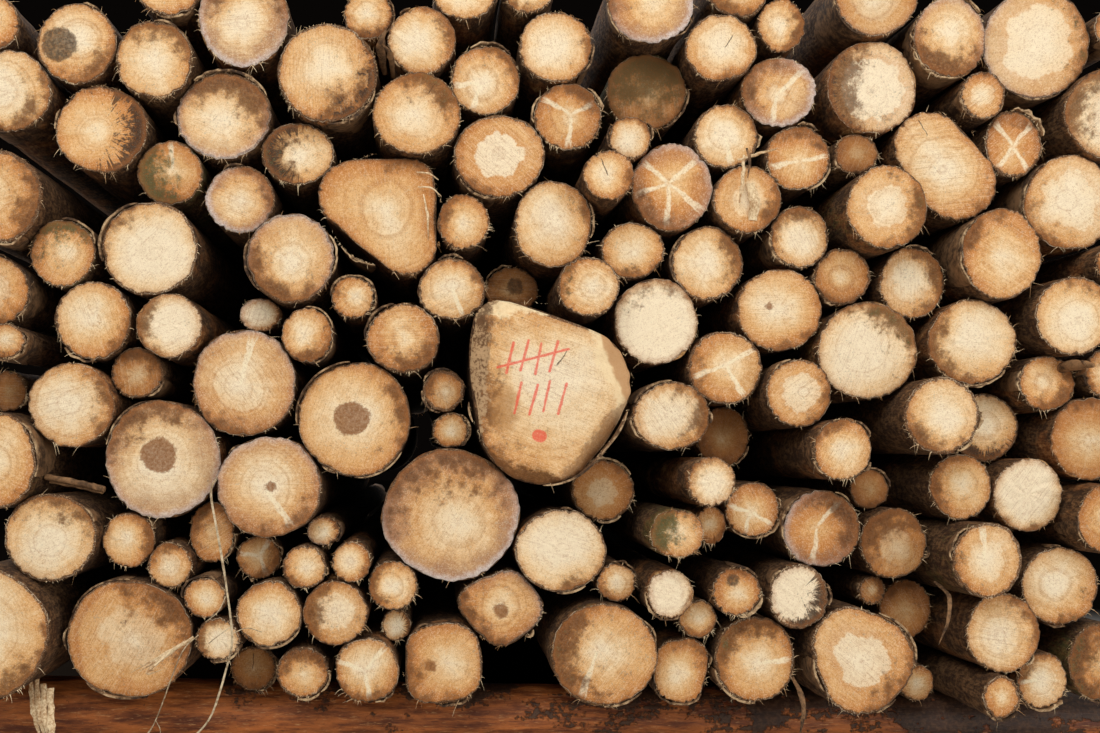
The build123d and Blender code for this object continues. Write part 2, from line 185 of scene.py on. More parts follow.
# %% What stands out, log by log
# Place across and up, tone and heart, and then by name what else differs from the irregular numbers.
STANDS_OUT = """
-130 203, 0 .62, grime .35, grime_side 320, stain -4.6 0 -4.8
-145 192, .55 .7, kerf .6
-107 197, .1 .6, fray 2.5, grime .6, grime_side 80, moss .3
-84 210, .45 .5, fray 2.5, grime .5, grime_side 70, kerf .9, kerf_turn 5, pink .9
-149 190, .7 .6
-122 179, .1 .35, fray 2.5, kerf .3, mould .9, grime .25, grime_side 0
-89 182, .25 .5, grime .7, grime_side 75, pink .5, kerf .6
-104 168, -.35 .3, grime .7, grime_side 200, moss .8, rays 95
-146 160, -.2 .5, grime .4, grime_side 0, bark 9
-85 160, -.1 .5, grime .4, grime_side 40, pink .8
-134 145, -.2 .4, grime .6, grime_side 90, moss .7
-109 147, .7 .8, grime .15, bark 6
-125 127, -.05 .6, kerf .6, grime .2
-105 125, .65 .85, kerf .7, kerf_turn 20
-147 134, -.2 .5, grime .3
-114 113, -.6 .4, grime .5
-132 103, .3 .7, kerf 1, kerf_turn 15
-84 110, .05 .55, kerf 1, kerf_turn 125, rays 75, pink .3
-150 107, -.8 .3, grime .5
-107 88, .15 .72, pink .7, kerf .5, kerf_turn 0, stain -1 1 4.8
-136 66, .35 .7, kerf .5, kerf_turn 30
-116 65, -.05 .5, kerf .4
-104 60, .1 .5, grime .35
-95 68, -.3 .3, grime .6, grime_side 120, moss .3
-147 41, .45 .6, bark 7
-115 39, -.2 .5, kerf .9, kerf_turn 60, bark 3
-92 40, .45 .7
-95 50, -.2 .5, kerf .6
-80 61, -.6 .5, grime .5, rays 60 170 290
-81 29, -.75 .4, crack 90 0 .8
-67 30, -.1 .3, grime .7, grime_side 100, mould .3
-59 45, .05 .6, grime .6, grime_side 170
-76 47, .1 .65, kerf .6, kerf_turn 80
-50 31, 0 .6, rays 50 160 280
-50 210, .1 .5, grime .5, grime_side 300, mould .25
-35 205, .3 .62, grime .2
-61 194, .25 .5, fray 2.5, kerf 1, kerf_turn 90, grime .5, grime_side 320, mould .45
-18 193, .2 .5, fray 2.5, rays 183 250, grime .3, grime_side 60
-37 182, -.15 .6, fray 2.5, grime .5, grime_side 60, crack 55 .55 1
-69 172, .1 .62, grime .8, grime_side 170, moss .35, mould .9
-48 157, -.25 .52, pith_x .02, pith_z .03, grime .2, bark 2, kerf .3, fray 4
-72 143, -.05 .6, kerf .4, pink .3
-23 153, -.2 .5, fray 2.5, bark 2
-30 137, .15 .6, rays 290
-40 122, -.05 .4, grime .5, kerf .9, kerf_turn 0
-54 101, -.1 .62, kerf .7, kerf_turn 70, bark 3, stain -1 0 4.8
-76 82, .05 .6, rays 305, kerf .6, kerf_turn 0, pink .4, stain .5 .5 1.4
-27 73, 0 .5, pink 1, grime .45, grime_side 105, kerf .6, kerf_turn 60, pith_x .12, pith_z -.1
-29 108, -.5 .4, grime .6, bark 8
-28 97, -.35 .6, bark 4
-67 122, 0 .5, grime .5, grime_side 300
-54 133, .1 .5, grime .2
-41 54, 0 .6, grime .5, grime_side 160
-55 60, .1 .6, grime .2
-67 59, -.1 .6, grime .3
-31 33, -.15 .5, kerf .4, stain -3.2 -.5 1.8
-13 48, -.1 .4, pink .2, stain 0 -1 2
1 202, .15 .7, grime .2, bark 3
27 210, -.05 .45, grime .35, pink .9, bark 2
26 188, -.85 .3, grime .9, grime_side 90, moss 1.1
4 182, -.3 .3, fray 2.5, grime .5, grime_side 70, rays 150 265 30
23 177, .3 .7
15 166, 0 .5, crack 110 0 .8
-14 171, -.05 .55, bark 4, pink 0, sharp 1, grime .2
33 163, -.05 .2, rays 40 140 200 268 320, pink .4, kerf .2
1 154, .35 .6, kerf .5, kerf_turn 120
23 147, .1 .5, kerf .4
-11 137, -.75 .3, grime .7, stain 1 1 -2.2
9 136, .2 .62, grime .2, bark 4
29 126, 1 1.2, grime .15, kerf .2, bark 1
-1 107, .15 .7, kerf 1, kerf_turn -20, grime .3, grime_side 190, crack 55 .25 .6
3 64, .65 .78, grime .15
13 81, -.5 .45, sharp .5, grime .1
14 35, 0 .4, grime .75, grime_side 180, rays 250, moss .3
18 55, 0 .5
32 52, .75 1.1, bark 2, grime .1
40 44, -.1 .5
52 52, -.3 .4, kerf .3, stain -1 3 -1.6
36 68, .2 .4, moss .9, grime .8, mould .6
45 82, .7 .6, grime .4
56 74, .1 .3, rays 165 330 255, bark 2
37 100, .2 .7, kerf 1, kerf_turn 125, bark 4
49 95, -.85 .3, grime .4
46 70, -.4 .4
47 202, -.1 .7, crack 55 .1 .55
64 208, -.1 .6
63 190, .1 .3, pink .8, rays 40 260
87 191, .9 .7, sharp .7, grime .75, grime_side 180, mould .35
109 205, .2 .5, kerf .3, pink .3
135 203, .35 .62, pink .3, sharp .6
49 178, .35 .6, grime .3, rays 280
68 172, -.1 .3, rays 10 190, grime .3
84 173, -.75 .3
54 160, -.1 .5, grime .4, kerf .3
90 157, .2 .5, sharp .5, bark 3
108 168, .1 .6, kerf 1, kerf_turn 5, crack 115 .6 .95
68 149, .4 .62, bark 4
43 142, .15 .62, kerf .5
81 139, -.4 .4, grime .2
99 137, .3 .6, kerf .9, kerf_turn 90
62 129, 0 .6, grime .1, stain -2.7 1 .8
48 114, .2 .4, rays 30 200 300, grime .2
86 119, .55 .75, kerf .8, kerf_turn 70
68 107, -.15 .6, sharp .6
81 91, .1 .5, kerf .9, kerf_turn 60
88 80, -.8 .3
75 70, -.15 0, pink .5, rays 50 265, grime .6, grime_side 20, kerf .3
95 65, -.55 .5, grime .7, grime_side 120
68 51, .75 1.1, mould .9, grime .5, grime_side 330
56 34, .05 .4, rays 5, grime .6, grime_side 130
37 30, -.05 .5, grime .2
89 53, -.5 .3, grime .7
97 47, -.65 .3
85 33, .2 .52, sharp .8, bark 6, pith_x 0
117 188, -.05 .5, grime .2, bark 5
128 176, -.15 .2, rays 50 125 235 305
149 184, .6 .8, kerf 1, kerf_turn 40
143 160, .4 .62, grime .35, sharp .4
124 145, .1 .4, kerf .7, kerf_turn 150, grime .3
149 142, .1 .5
116 122, .35 .7, kerf .3
142 128, .35 .7, grime .2
137 109, -.1 .4, grime .5
108 100, .3 .6, kerf .5, bark 7
122 99, .1 .6, mould .7, grime .4, grime_side 250
147 94, -.5 .5
131 79, .8 .9, grime .1
149 73, -.35 .3, grime .5
113 80, -.1 .5, bark 4
121 61, .2 .5, rays 95, grime .3, bark 7
141 53, .25 .6, kerf .7, kerf_turn 150
126 40, .25 .6, grime .3
137 26, .2 .6, rays 190
152 33, -.3 .2, grime .9, grime_side 180, moss .5, mould .4
121 24, -.2 .4, bark 7
"""
PER_METRE = {"stain": 100.0, "bark": 1000.0}  # the table has them in centimetres and millimetres

set_by_hand = set()
for row in STANDS_OUT.strip().splitlines():
    place, (tone, heart), *others = [part.split() for part in row.split(",")]
    number = log_at(*map(float, place))
    set_by_hand.add(number)
    for key, *values in (("pink", 0), ("mould", 0), ("tone", tone), ("heart", heart), *others):
        for seat, name in enumerate(SEVERAL.get(key, (key,))):
            value = values[min(seat, len(values) - 1)]
            looks[name][number] = float(value) / PER_METRE.get(key, 1.0)
        if key == "rays":
            looks["rays"][number] = 1.0
print(len(set_by_hand), "logs set by hand")
looks["stain_x"] -= looks["pith_x"] * radius
looks["stain_z"] -= looks["pith_z"] * radius
for key in ("grime_side", "kerf_turn", "crack_turn", *RAY_KEYS):
    looks[key] = np.radians(looks[key])

# %% [markdown]
# ## Shader maths that reads like sums
# A material is a net of nodes. It could be drawn by hand in the shader editor, but here each socket
# is wrapped in a small class whose + - * / add Math nodes, so that a mask is written as a formula.
# Colours go through Mix nodes, layer upon layer on one skin, and one method adds any other node.


# %% Wires that Python can reckon with
def colour(red, green, blue):
    """A colour as a paint card gives it, 0 to 255, turned into the numbers that light adds up in."""
    parts = [part / 255.0 for part in (red, green, blue)]
    return (*[c / 12.92 if c <= 0.04 else ((c + 0.055) / 1.055) ** 2.4 for c in parts], 1.0)


class Wire:
    """A shader socket that the signs + - * / and ** work on: each one adds a Math node."""

    def __init__(self, finish, socket):
        self.finish, self.socket = finish, socket

    def reckon(self, operation, *values):
        return self.finish.node("ShaderNodeMath", {"operation": operation}, dict(enumerate(values)))

    def __add__(self, other):
        return self.reckon("ADD", self, other)

    def __sub__(self, other):
        return self.reckon("SUBTRACT", self, other)

    def __rsub__(self, other):
        return self.reckon("SUBTRACT", other, self)

    def __mul__(self, other):
        return self.reckon("MULTIPLY", self, other)

    def __truediv__(self, other):
        return self.reckon("DIVIDE", self, other)

    def __pow__(self, other):
        return self.reckon("POWER", self, other)

    def __neg__(self):
        return self * -1.0

    __radd__, __rmul__ = __add__, __mul__

    def at_least(self, other):
        return self.reckon("MAXIMUM", self, other)

    def at_most(self, other):
        return self.reckon("MINIMUM", self, other)

    def size(self):
        return self.reckon("ABSOLUTE", self)

    def sine(self):
        return self.reckon("SINE", self)

    def cosine(self):
        return self.reckon("COSINE", self)

    def rise(self, low, high):
        """0 below low, 1 above high and a soft step between them."""
        links = {"Value": self, "From Min": low, "From Max": high}
        return self.finish.node("ShaderNodeMapRange", {"interpolation_type": "SMOOTHSTEP"}, links)

    def fall(self, low, high):
        """1 below low, 0 above high and a soft step between them."""
        return 1.0 - self.rise(low, high)


class Finish:
    """One material, the ways to add nodes to it, and its skin: the colour that it has so far."""

    def __init__(self, name, like=None):
        self.material = like.copy() if like else bpy.data.materials.new(name)
        self.material.name = name
        self.material.use_nodes = True
        self.tree = self.material.node_tree
        if not like:
            self.tree.nodes.clear()

    def node(self, kind, settings, sockets, output=0):
        """Adds a node of any kind, sets what it is, then gives its sockets their values or wires."""
        made = self.tree.nodes.new(kind)
        for key, value in settings.items():
            setattr(made, key, value)
        for key, value in sockets.items():
            if isinstance(value, Wire):
                self.tree.links.new(value.socket, made.inputs[key])
            else:
                made.inputs[key].default_value = value
        return Wire(self, made.outputs[output])

    def mix(self, share, first, second):
        """The first colour where the share is 0, the second where it is 1. A colour is a wire, or
        three numbers as on a paint card."""
        first, second = (colour(*c) if isinstance(c, tuple) else c for c in (first, second))
        sockets = {0: share, 6: first, 7: second}
        return self.node("ShaderNodeMix", {"data_type": "RGBA"}, sockets, 2)

    def coat(self, share, tint):
        """Lays a colour over the skin where the share is 1."""
        self.skin = self.mix(share, self.skin, tint)

    def noise(self, place, scale, detail=2.0, roughness=0.55):
        """Cloudy noise about nought, from about -0.5 to 0.5."""
        links = {"Vector": place, "Scale": scale, "Detail": detail, "Roughness": roughness}
        return self.node("ShaderNodeTexNoise", {}, links) - 0.5

    def parts(self, vector):
        """The three numbers of a vector as wires."""
        made = self.node("ShaderNodeSeparateXYZ", {}, {0: vector}).socket.node
        return [Wire(self, socket) for socket in made.outputs]

    def vector(self, x, y, z):
        """A vector of three numbers or wires."""
        return self.node("ShaderNodeCombineXYZ", {}, {0: x, 1: y, 2: z})

    def read(self, name):
        """The three numbers that each point of the mesh carries under that name."""
        return self.parts(self.node("ShaderNodeAttribute", {"attribute_name": name}, {}, "Vector"))

    def place(self):
        """Where a point lies in the shared frame."""
        return self.node("ShaderNodeTexCoord", {}, {}, "Object")

    def wear(self, roughness, height, depth, shine=0.25):
        """Ends the material: its skin, its roughness and a bump of that depth, in metres."""
        bump = self.node("ShaderNodeBump", {}, {"Height": height, "Distance": depth, "Strength": 1.0})
        links = {"Base Color": self.skin, "Roughness": roughness, "Normal": bump}
        links["Specular IOR Level"] = shine
        surface = self.node("ShaderNodeBsdfPrincipled", {"name": "surface"}, links)
        out = self.tree.nodes.new("ShaderNodeOutputMaterial")
        self.tree.links.new(surface.socket, out.inputs["Surface"])
        return self.material


# %% [markdown]
# ## The sawn wood
# A fresh softwood end has a pale, dry heart with an uneven border, a wet amber ring round it, soft
# year rings, fine lines that the saw left, and dirt that clings to one side. A photograph could be
# laid over it, but each end would then look the same. Here every mark is a formula on the distance
# from the pith and the turn round it, with noise that shifts it, so no two ends are alike.

# %% What a point of sawn wood knows
wood = Finish("sawn_wood")
across, up, edge = wood.read("grain")
tone, heart, sharp = wood.read("timber")
grime, grime_side, moss = wood.read("weather")
kerf, kerf_turn, mould = wood.read("saw")
rays, bark, seed = wood.read("knots")
ray_turns = wood.read("ray_turns")
*last_turns, pink = wood.read("more_turns")
stain_x, stain_z, stain = wood.read("stain")
crack_turn, crack_from, crack_to = wood.read("crack")

place = wood.place()
reach = (across * across + up * up) ** 0.5
share = reach / (reach + edge)
turn = up.reckon("ARCTAN2", up, across)
way_x, way_z = turn.cosine(), turn.sine()
soiled_side = (turn - grime_side).cosine() * share
cloud = wood.noise(place, 8.0, 2.0)
patch = wood.noise(place, 26.0, 4.0, 0.6)
fleck = wood.noise(place, 130.0, 3.0, 0.65)
grit = wood.noise(place, 330.0, 2.0, 0.7)


def round_noise(fineness, depth, *grades):
    """Noise that closes round the pith: it is read on a circle whose radius is the fineness."""
    return wood.noise(wood.vector(way_x * fineness, way_z * fineness, depth), 1.0, *grades)


def by_line(turn):
    """How far a point lies along a line through the pith with that turn, and how far beside it."""
    line_x, line_z = turn.cosine(), turn.sine()
    return across * line_x + up * line_z, up * line_x - across * line_z


lobes = round_noise(1.4, seed, 3.0)
spokes = round_noise(15.0, reach * 7.0 + seed, 2.0, 0.6)

# %% Heart, sapwood and year rings
wander = cloud * 0.034 + patch * 0.009
ring_place = wood.vector((reach + wander) * 62.0, seed, lobes * 0.8)
bands = wood.noise(ring_place, 1.0, 3.0, 0.6)
RINGS_PER_METRE = 270.0
fine_rings = ((reach + wander) * (RINGS_PER_METRE * FULL_TURN)).sine() * 0.5 + 0.5

CREAM, PALE, STRAW = (246, 227, 193), (240, 207, 158), (226, 174, 111)
AMBER, HONEY = (204, 136, 70), (160, 96, 44)
drift = share * 0.8 + soiled_side * 0.2 + lobes * 0.4 + cloud * 0.4 + patch * 0.3 + bands * 0.3
drift = drift - tone * 0.26 - heart * 0.7 + 0.42
wood.skin = wood.mix(drift.rise(0.0, 0.4), CREAM, PALE)
wood.coat(drift.rise(0.26, 0.6), STRAW)
wood.coat(drift.rise(0.52, 0.86), AMBER)
# The honey layer gathers towards the rim: partly the wet sapwood's own colour, partly painted shade that
# darkens the end towards its rim.
wood.coat(drift.rise(0.8, 1.2), HONEY)
border = share + lobes * 0.6 + patch * 0.2 - heart
disc = border.fall(-0.03, 0.03) * sharp
wood.coat(border.rise(-0.03, 0.03) * border.fall(0.05, 0.3) * sharp * 0.6, AMBER)
disc_tint = wood.mix((-tone).rise(0.2, 1.0), CREAM, STRAW)
wood.coat(disc * 0.8, disc_tint)
wood.coat(bands.rise(0.02, 0.2) * (0.24 - tone * 0.16), HONEY)
wood.coat(fine_rings * bands.rise(-0.1, 0.16) * 0.13, HONEY)
wood.coat(spokes.rise(0.05, 0.25) * 0.16, CREAM)
wood.coat((-spokes).rise(0.04, 0.22) * share * 0.22, HONEY)

# %% The saw's lines, knot rays and cracks
along, beside = by_line(kerf_turn)
lines = wood.noise(wood.vector((beside + cloud * 0.01) * 420.0, along * 12.0, seed), 1.0, 2.0, 0.7)
wood.coat(lines.rise(0.0, 0.22) * (kerf * 0.32 + 0.06), HONEY)
wood.coat((-lines).rise(0.0, 0.22) * (kerf * 0.26 + 0.05), CREAM)

star = None
for ray_turn in (*ray_turns, *last_turns):
    along, beside = by_line(ray_turn)
    ray = ((beside + patch * 0.02).size() - along * 0.06).fall(0.0008, 0.006) * along.rise(0.0, 0.01)
    star = star.at_least(ray) if star else ray
star = star * rays * (share + spokes * 0.6).fall(0.8, 1.0)
wood.coat(star * (fleck + 0.75).at_most(0.95), (248, 232, 196))

along, beside = by_line(crack_turn)
along = along / (reach + edge)
crack = (beside + patch * 0.02).size().fall(0.0006, 0.0022) * crack_to.rise(0.0, 0.01)
crack = crack * (along - crack_from).rise(-0.02, 0.04) * (along - crack_to).fall(-0.08, 0.0)
wood.coat(crack * 0.9, (60, 40, 26))

# %% Rot, dirt, mould and moss
from_stain = ((across - stain_x) ** 2.0 + (up - stain_z) ** 2.0) ** 0.5 + fleck * 0.02 + patch * 0.035
in_stain = (from_stain - stain.size()).fall(-0.004, 0.005) * stain.size().rise(0.001, 0.003)
stain_tint = wood.mix(stain.rise(-0.001, 0.001), (74, 58, 42), (134, 84, 42))
wood.coat(in_stain * (0.85 + fleck).at_most(0.95), stain_tint)
pinkish = (share + lobes * 0.9).rise(0.5, 0.9) * pink
wood.coat(pinkish * (0.65 + patch), (160, 122, 98))

soil = patch * 1.5 + fleck * 0.9 + cloud * 0.8 + soiled_side * 0.6 + share * 0.5 + grime * 0.82 - 0.83
soiled = soil.rise(0.02, 0.5)
dirt = wood.mix(fleck.rise(-0.15, 0.2), (56, 33, 16), (130, 84, 44))
wood.coat(soiled * 0.84, dirt)
specks = fleck * 1.5 + patch * 0.9 + grit * 0.7 + share * 0.1 + grime * 0.2 - 0.36
wood.coat(specks.rise(0.0, 0.12) * 0.46, (104, 62, 32))
teeth = round_noise(7.0, seed, 2.0, 0.7) + soiled_side * 0.25
toothed = (teeth.rise(0.0, 0.3) * mould * 0.06 - edge).rise(0.0, 0.005)
moulded = patch * 1.2 + fleck * 0.9 + spokes * 1.1 + soiled_side * 0.45 + share * 0.4 + mould * 0.5 - 0.92
mouldy = toothed.at_least(moulded.rise(0.0, 0.2) * mould.rise(0.0, 0.3))
wood.coat(mouldy * 0.85, (46, 33, 23))
green = (patch * 1.4 + fleck * 0.7 + soiled_side * 0.4 + moss * 0.9 - 0.62).rise(0.0, 0.4)
wood.coat(green * moss.rise(0.0, 0.3) * 0.8, (80, 82, 44))

# %% The torn rim and its bark
ragged = fleck * 0.01 + patch * 0.008 + lobes * 0.006
# Painted shade in part: the last two centimetres of the end are painted honey and the last few millimetres
# dark brown, for the shade at a rounded, rough rim as well as the bark's own brown edge.
wood.coat((edge + ragged).fall(0.0, 0.024) * 0.5, HONEY)
wood.coat((edge + ragged).fall(0.0, 0.007) * 0.7, (88, 52, 27))
in_bark = (edge + ragged * 0.6 - bark).fall(-0.001, 0.0015)
rind = wood.mix(grit.rise(-0.1, 0.15), (62, 40, 24), (128, 96, 66))
wood.coat(in_bark * 0.9, rind)
lit_edge = (edge + fleck * 0.003).fall(0.0005, 0.0022) * (lobes + spokes * 0.5).rise(0.0, 0.12)
wood.coat(lit_edge * 0.6, (206, 188, 160))
whitish = (edge + patch * 0.03).fall(0.004, 0.024) * (0.5 - soiled_side * 0.8).at_least(0.0) * pink
wood.coat(whitish * (fleck + 0.7), (214, 200, 192))
grain = grit * 1.3 + fleck * 0.7
clean = 1.0 - soiled.at_least(mouldy).at_least(in_stain) * 0.8
wood.coat(grain.rise(0.02, 0.24) * (tone * 0.2 + 0.36).at_least(0.08) * clean, CREAM)
wood.coat((-grain).rise(0.02, 0.24) * (0.42 - tone * 0.12), HONEY)
wood.coat((-tone).rise(0.1, 1.2) * (0.72 + patch * 0.6), (98, 60, 26))
heights = lines * kerf * 0.5 + fleck * 0.6 + grit * 0.4
wood_finish = wood.wear(0.8 + fleck * 0.2, heights, 0.0022)
print("sawn wood:", len(wood.tree.nodes), "nodes")

# %% [markdown]
# ## The largest end
# The chain saw came at this log from several sides, so its end has facets: a pale one along the top
# and one on the right, two that fall away below, and on the left a strip of bark. Each facet is all
# that lies beyond a straight line. The same lines cut the mesh and paint the wood. The two below are
# painted dark brown, painted shade on top of the shade that their slope gets, and a brown patch of
# painted shade stands for a hollow at the lower left that the mesh doesn't have.
# Foresters count and mark logs with a fat wax crayon. Drawn as thin ribbons it would float over the
# rough wood, so it is painted: each stroke is the distance from a short line, and noise breaks the
# wax up where the wood is rough. The marks are plain tally strokes and a dot.

# %% The facets of the largest end
marked_log = log_at(0.0, 106.0)
facets = {  # turn of the way outwards in degrees, distance from the end's middle, and how steep
    "top": (97.0, 0.203, 0.35),
    "right": (19.0, 0.168, 0.4),
    "low_right": (-41.0, 0.184, 0.6),
    "bottom": (-109.0, 0.208, 0.9),
    "bark_side": (171.0, 0.156, 0.7),
}
marked_x, _, marked_z = front_middle[marked_log]


def beyond(facet, x, z):
    """How far a place is past a facet's line: the place from the end's middle, measured along the
    facet's way outwards, less the line's distance."""
    turn, distance, _ = facets[facet]
    turn = math.radians(turn)
    return (x - marked_x) * math.cos(turn) + (z - marked_z) * math.sin(turn) - distance


marked = Finish("marked_wood", like=wood_finish)
x, y, z = marked.parts(marked.place())
surface = marked.tree.nodes["surface"]
marked.skin = Wire(marked, surface.inputs["Base Color"].links[0].from_socket)
chipped = marked.noise(marked.place(), 30.0, 4.0, 0.65)
rough = marked.noise(marked.place(), 120.0, 3.0, 0.65)
swell = marked.noise(marked.place(), 9.0, 2.0)
in_front = y.fall(0.0, 0.1)
# Painted shade: a brown patch at the lower left stands for the shade in a hollow that the mesh doesn't have.
hollow = ((x - marked_x + 0.105) ** 2.0 + (z - marked_z + 0.055) ** 2.0 * 0.45) ** 0.5 + chipped * 0.06
marked.coat(hollow.fall(0.02, 0.055) * in_front * 0.6, (168, 118, 66))
# The two facets below are painted dark brown: painted shade, as they face down, on top of the shade that
# their slope gets. The top and right facets are painted a pale cream.
for facet, tint, cover in (
    ("top", (246, 222, 176), 0.75),
    ("right", (244, 218, 172), 0.7),
    ("low_right", (158, 116, 78), 0.6),
    ("bottom", (122, 80, 44), 0.8),
):
    past = beyond(facet, x, z) + swell * 0.07 + chipped * 0.05 + rough * 0.012
    marked.coat(past.rise(-0.006, 0.008) * in_front * (cover + rough * 0.9), tint)
outside = (beyond("right", x, z) + swell * 0.05 + chipped * 0.03).rise(0.024, 0.036) * in_front
marked.coat(outside * 0.7, (176, 118, 66))
crust = marked.mix((rough * 0.9 + chipped + swell).rise(-0.16, 0.16), (104, 74, 48), (186, 152, 112))
past = beyond("bark_side", x, z) + chipped * 0.07 + swell * 0.09
marked.coat(past.rise(0.0, 0.008) * in_front * 0.9, crust)

# %% Tally strokes
CRAYON_HALF_WIDTH = 0.0042


def line_between(start, end):
    """How far a point is from a straight stroke: it is dropped on the line, and the foot of the drop
    is held between the stroke's two ends. Places are in centimetres, as for the logs."""
    (x0, z0), (x1, z1) = [(a / 100.0, b / 100.0) for a, b in (start, end)]
    run, climb = x1 - x0, z1 - z0
    foot = ((x - x0) * run + (z - z0) * climb) / (run * run + climb * climb)
    foot = foot.at_least(0.0).at_most(1.0)
    aside, above = x - x0 - foot * run, z - z0 - foot * climb
    return (aside * aside + above * above) ** 0.5


tally = [((left + lean, top), (left, top - 8.0)) for left, lean, top in (
    (-12.2, 1.9, 119.2), (-8.4, 2.2, 119.9), (-4.4, 1.6, 119.0), (-0.6, 2.3, 119.6),
    (-10.0, 1.8, 108.4), (-6.0, 2.3, 108.0), (-2.2, 1.7, 108.9), (1.8, 2.2, 108.2))]
tally.append(((-14.6, 112.6), (4.6, 117.6)))
nearest = line_between((-3.6, 94.4), (-2.9, 94.2)) - 0.013
for start, end in tally:
    nearest = nearest.at_most(line_between(start, end))
waxy = marked.noise(marked.place(), 210.0, 3.0, 0.7)
drawn = nearest + chipped * 0.006 + waxy * 0.006
stroke = drawn.fall(CRAYON_HALF_WIDTH * 0.6, CRAYON_HALF_WIDTH * 1.15) * in_front
marked.coat(stroke * (waxy + 0.72).at_most(1.0), (232, 70, 56))
marked.tree.links.new(marked.skin.socket, surface.inputs["Base Color"])
print(len(tally), "crayon strokes on log", marked_log)

# %% [markdown]
# ## The bark
# Spruce and pine bark is scaly, grey outside and red-brown inside, and the harvester's rollers
# strip it off in long runs. Noise that is squeezed along the log gives the runs, finer noise the
# scales. It reads the place in space, so it never shows a seam on the barrel.

# %% The bark on the barrels
scaly = Finish("log_bark")
tone, moss, bark = scaly.read("timber")[0], scaly.read("weather")[2], scaly.read("knots")[1]
place = scaly.place()
x, y, z = scaly.parts(place)
stretched = scaly.vector(x * 3.4, y, z * 3.4)
strips = scaly.noise(stretched, 10.0, 3.0, 0.65)
scales = scaly.noise(stretched, 46.0, 3.0, 0.65)
patch = scaly.noise(place, 6.0, 3.0)
spots = scaly.noise(place, 60.0, 3.0, 0.6)
grit = scaly.noise(place, 170.0, 2.0, 0.7)
outer = strips * 0.6 + spots * 0.7 + scales * 0.8
outer = scaly.mix(outer.rise(-0.14, 0.28), (64, 42, 26), (142, 104, 68))
inner = scaly.mix((scales + spots).rise(-0.2, 0.25), (112, 66, 34), (168, 112, 64))
bare_wood = scaly.mix(scales.rise(-0.2, 0.2), (176, 120, 68), (222, 178, 118))
stripped = strips * 0.7 + patch * 1.2 - bark * 40.0 + tone * 0.1
scaly.skin = scaly.mix(stripped.rise(-0.08, 0.12) * 0.85, outer, inner)
scaly.coat(stripped.rise(0.12, 0.24) * 0.85, bare_wood)
scaly.coat(scales.rise(0.06, 0.2) * 0.5, (50, 32, 20))
scaly.coat(grit.rise(0.05, 0.25) * 0.32, (150, 122, 90))
green = (patch + scales * 0.8 + moss * 0.25 - 0.14).rise(0.0, 0.2) * moss.rise(0.0, 0.4)
scaly.coat(green * 0.6, (76, 82, 40))
heights = scales * 1.0 + strips * 0.7 + grit * 0.5
bark_finish = scaly.wear(0.88 + grit * 0.2, heights, 0.007)
print("bark:", len(scaly.tree.nodes), "nodes")

# %% The wet, stripped wood of the bearers
wet = Finish("bearer_wood_wet")
place = wet.place()
x, y, z = wet.parts(place)
stretched = wet.vector(x, y * 7.0, z * 7.0)
runs = wet.noise(stretched, 6.0, 5.0, 0.65)
threads = wet.noise(stretched, 30.0, 4.0, 0.7)
patch = wet.noise(place, 7.0, 4.0, 0.6)
spots = wet.noise(place, 70.0, 3.0, 0.65)
wet.skin = wet.mix(runs.rise(-0.16, 0.16), (104, 50, 22), (196, 112, 52))
wet.coat(threads.rise(0.06, 0.2) * 0.7, (214, 160, 104))
wet.coat((-threads).rise(0.05, 0.2) * 0.7, (58, 30, 18))
# Patches of dark bark crust, spread over the tops by the term in z and towards +X by the term in x: those two
# terms paint shade where the logs shade the bearers.
crust_and_painted_shade = (patch * 1.2 + runs * 0.6 + spots * 0.4 + z * 1.7 + x * 0.16 - 0.27).rise(-0.02, 0.06)
crust = wet.mix(spots.rise(-0.1, 0.2), (34, 24, 18), (84, 62, 44))
wet.coat(crust_and_painted_shade * 0.92, crust)
wet.coat(spots.rise(0.14, 0.26) * 0.6, (52, 36, 26))
heights = threads * 0.5 + runs * 0.4 + spots * 0.3 + crust_and_painted_shade * 0.8
bearer_finish = wet.wear(0.55 + spots * 0.4, heights, 0.004, 0.4)

# %% Bast, torn bark and twigs
loose = {}
for name, dark, light, thread_pitch in (
    ("pale_bast", (170, 124, 78), (242, 218, 176), 150.0),
    ("torn_bark", (58, 42, 30), (150, 112, 76), 60.0),
    ("grey_twig", (130, 106, 78), (224, 204, 168), 90.0),
):
    scrap = Finish(name)
    place = scrap.place()
    tangle = scrap.noise(place, thread_pitch, 3.0, 0.7)
    drift = scrap.noise(place, 9.0, 2.0)
    scrap.skin = scrap.mix((tangle + drift).rise(-0.25, 0.25), dark, light)
    front_edge = scrap.read("lit")[0]
    scrap.coat(front_edge.rise(0.4, 1.0) * (tangle + drift).rise(-0.1, 0.3) * 0.9, (204, 176, 136))
    loose[name] = scrap.wear(0.85 + tangle * 0.2, tangle, 0.0015)
print(sorted(loose))

# %% [markdown]
# ## The skin of a log
# A cylinder with a displacement could stand for a log, but its ends are the part that is looked at.
# So each log is one closed grid: loops of points start at the middle of the sawn end, run out to the
# rim, along the barrel and in to the middle of the other end. The loops lie close together near the
# sawn ends and far apart between them, and cosines added up make the surface uneven.

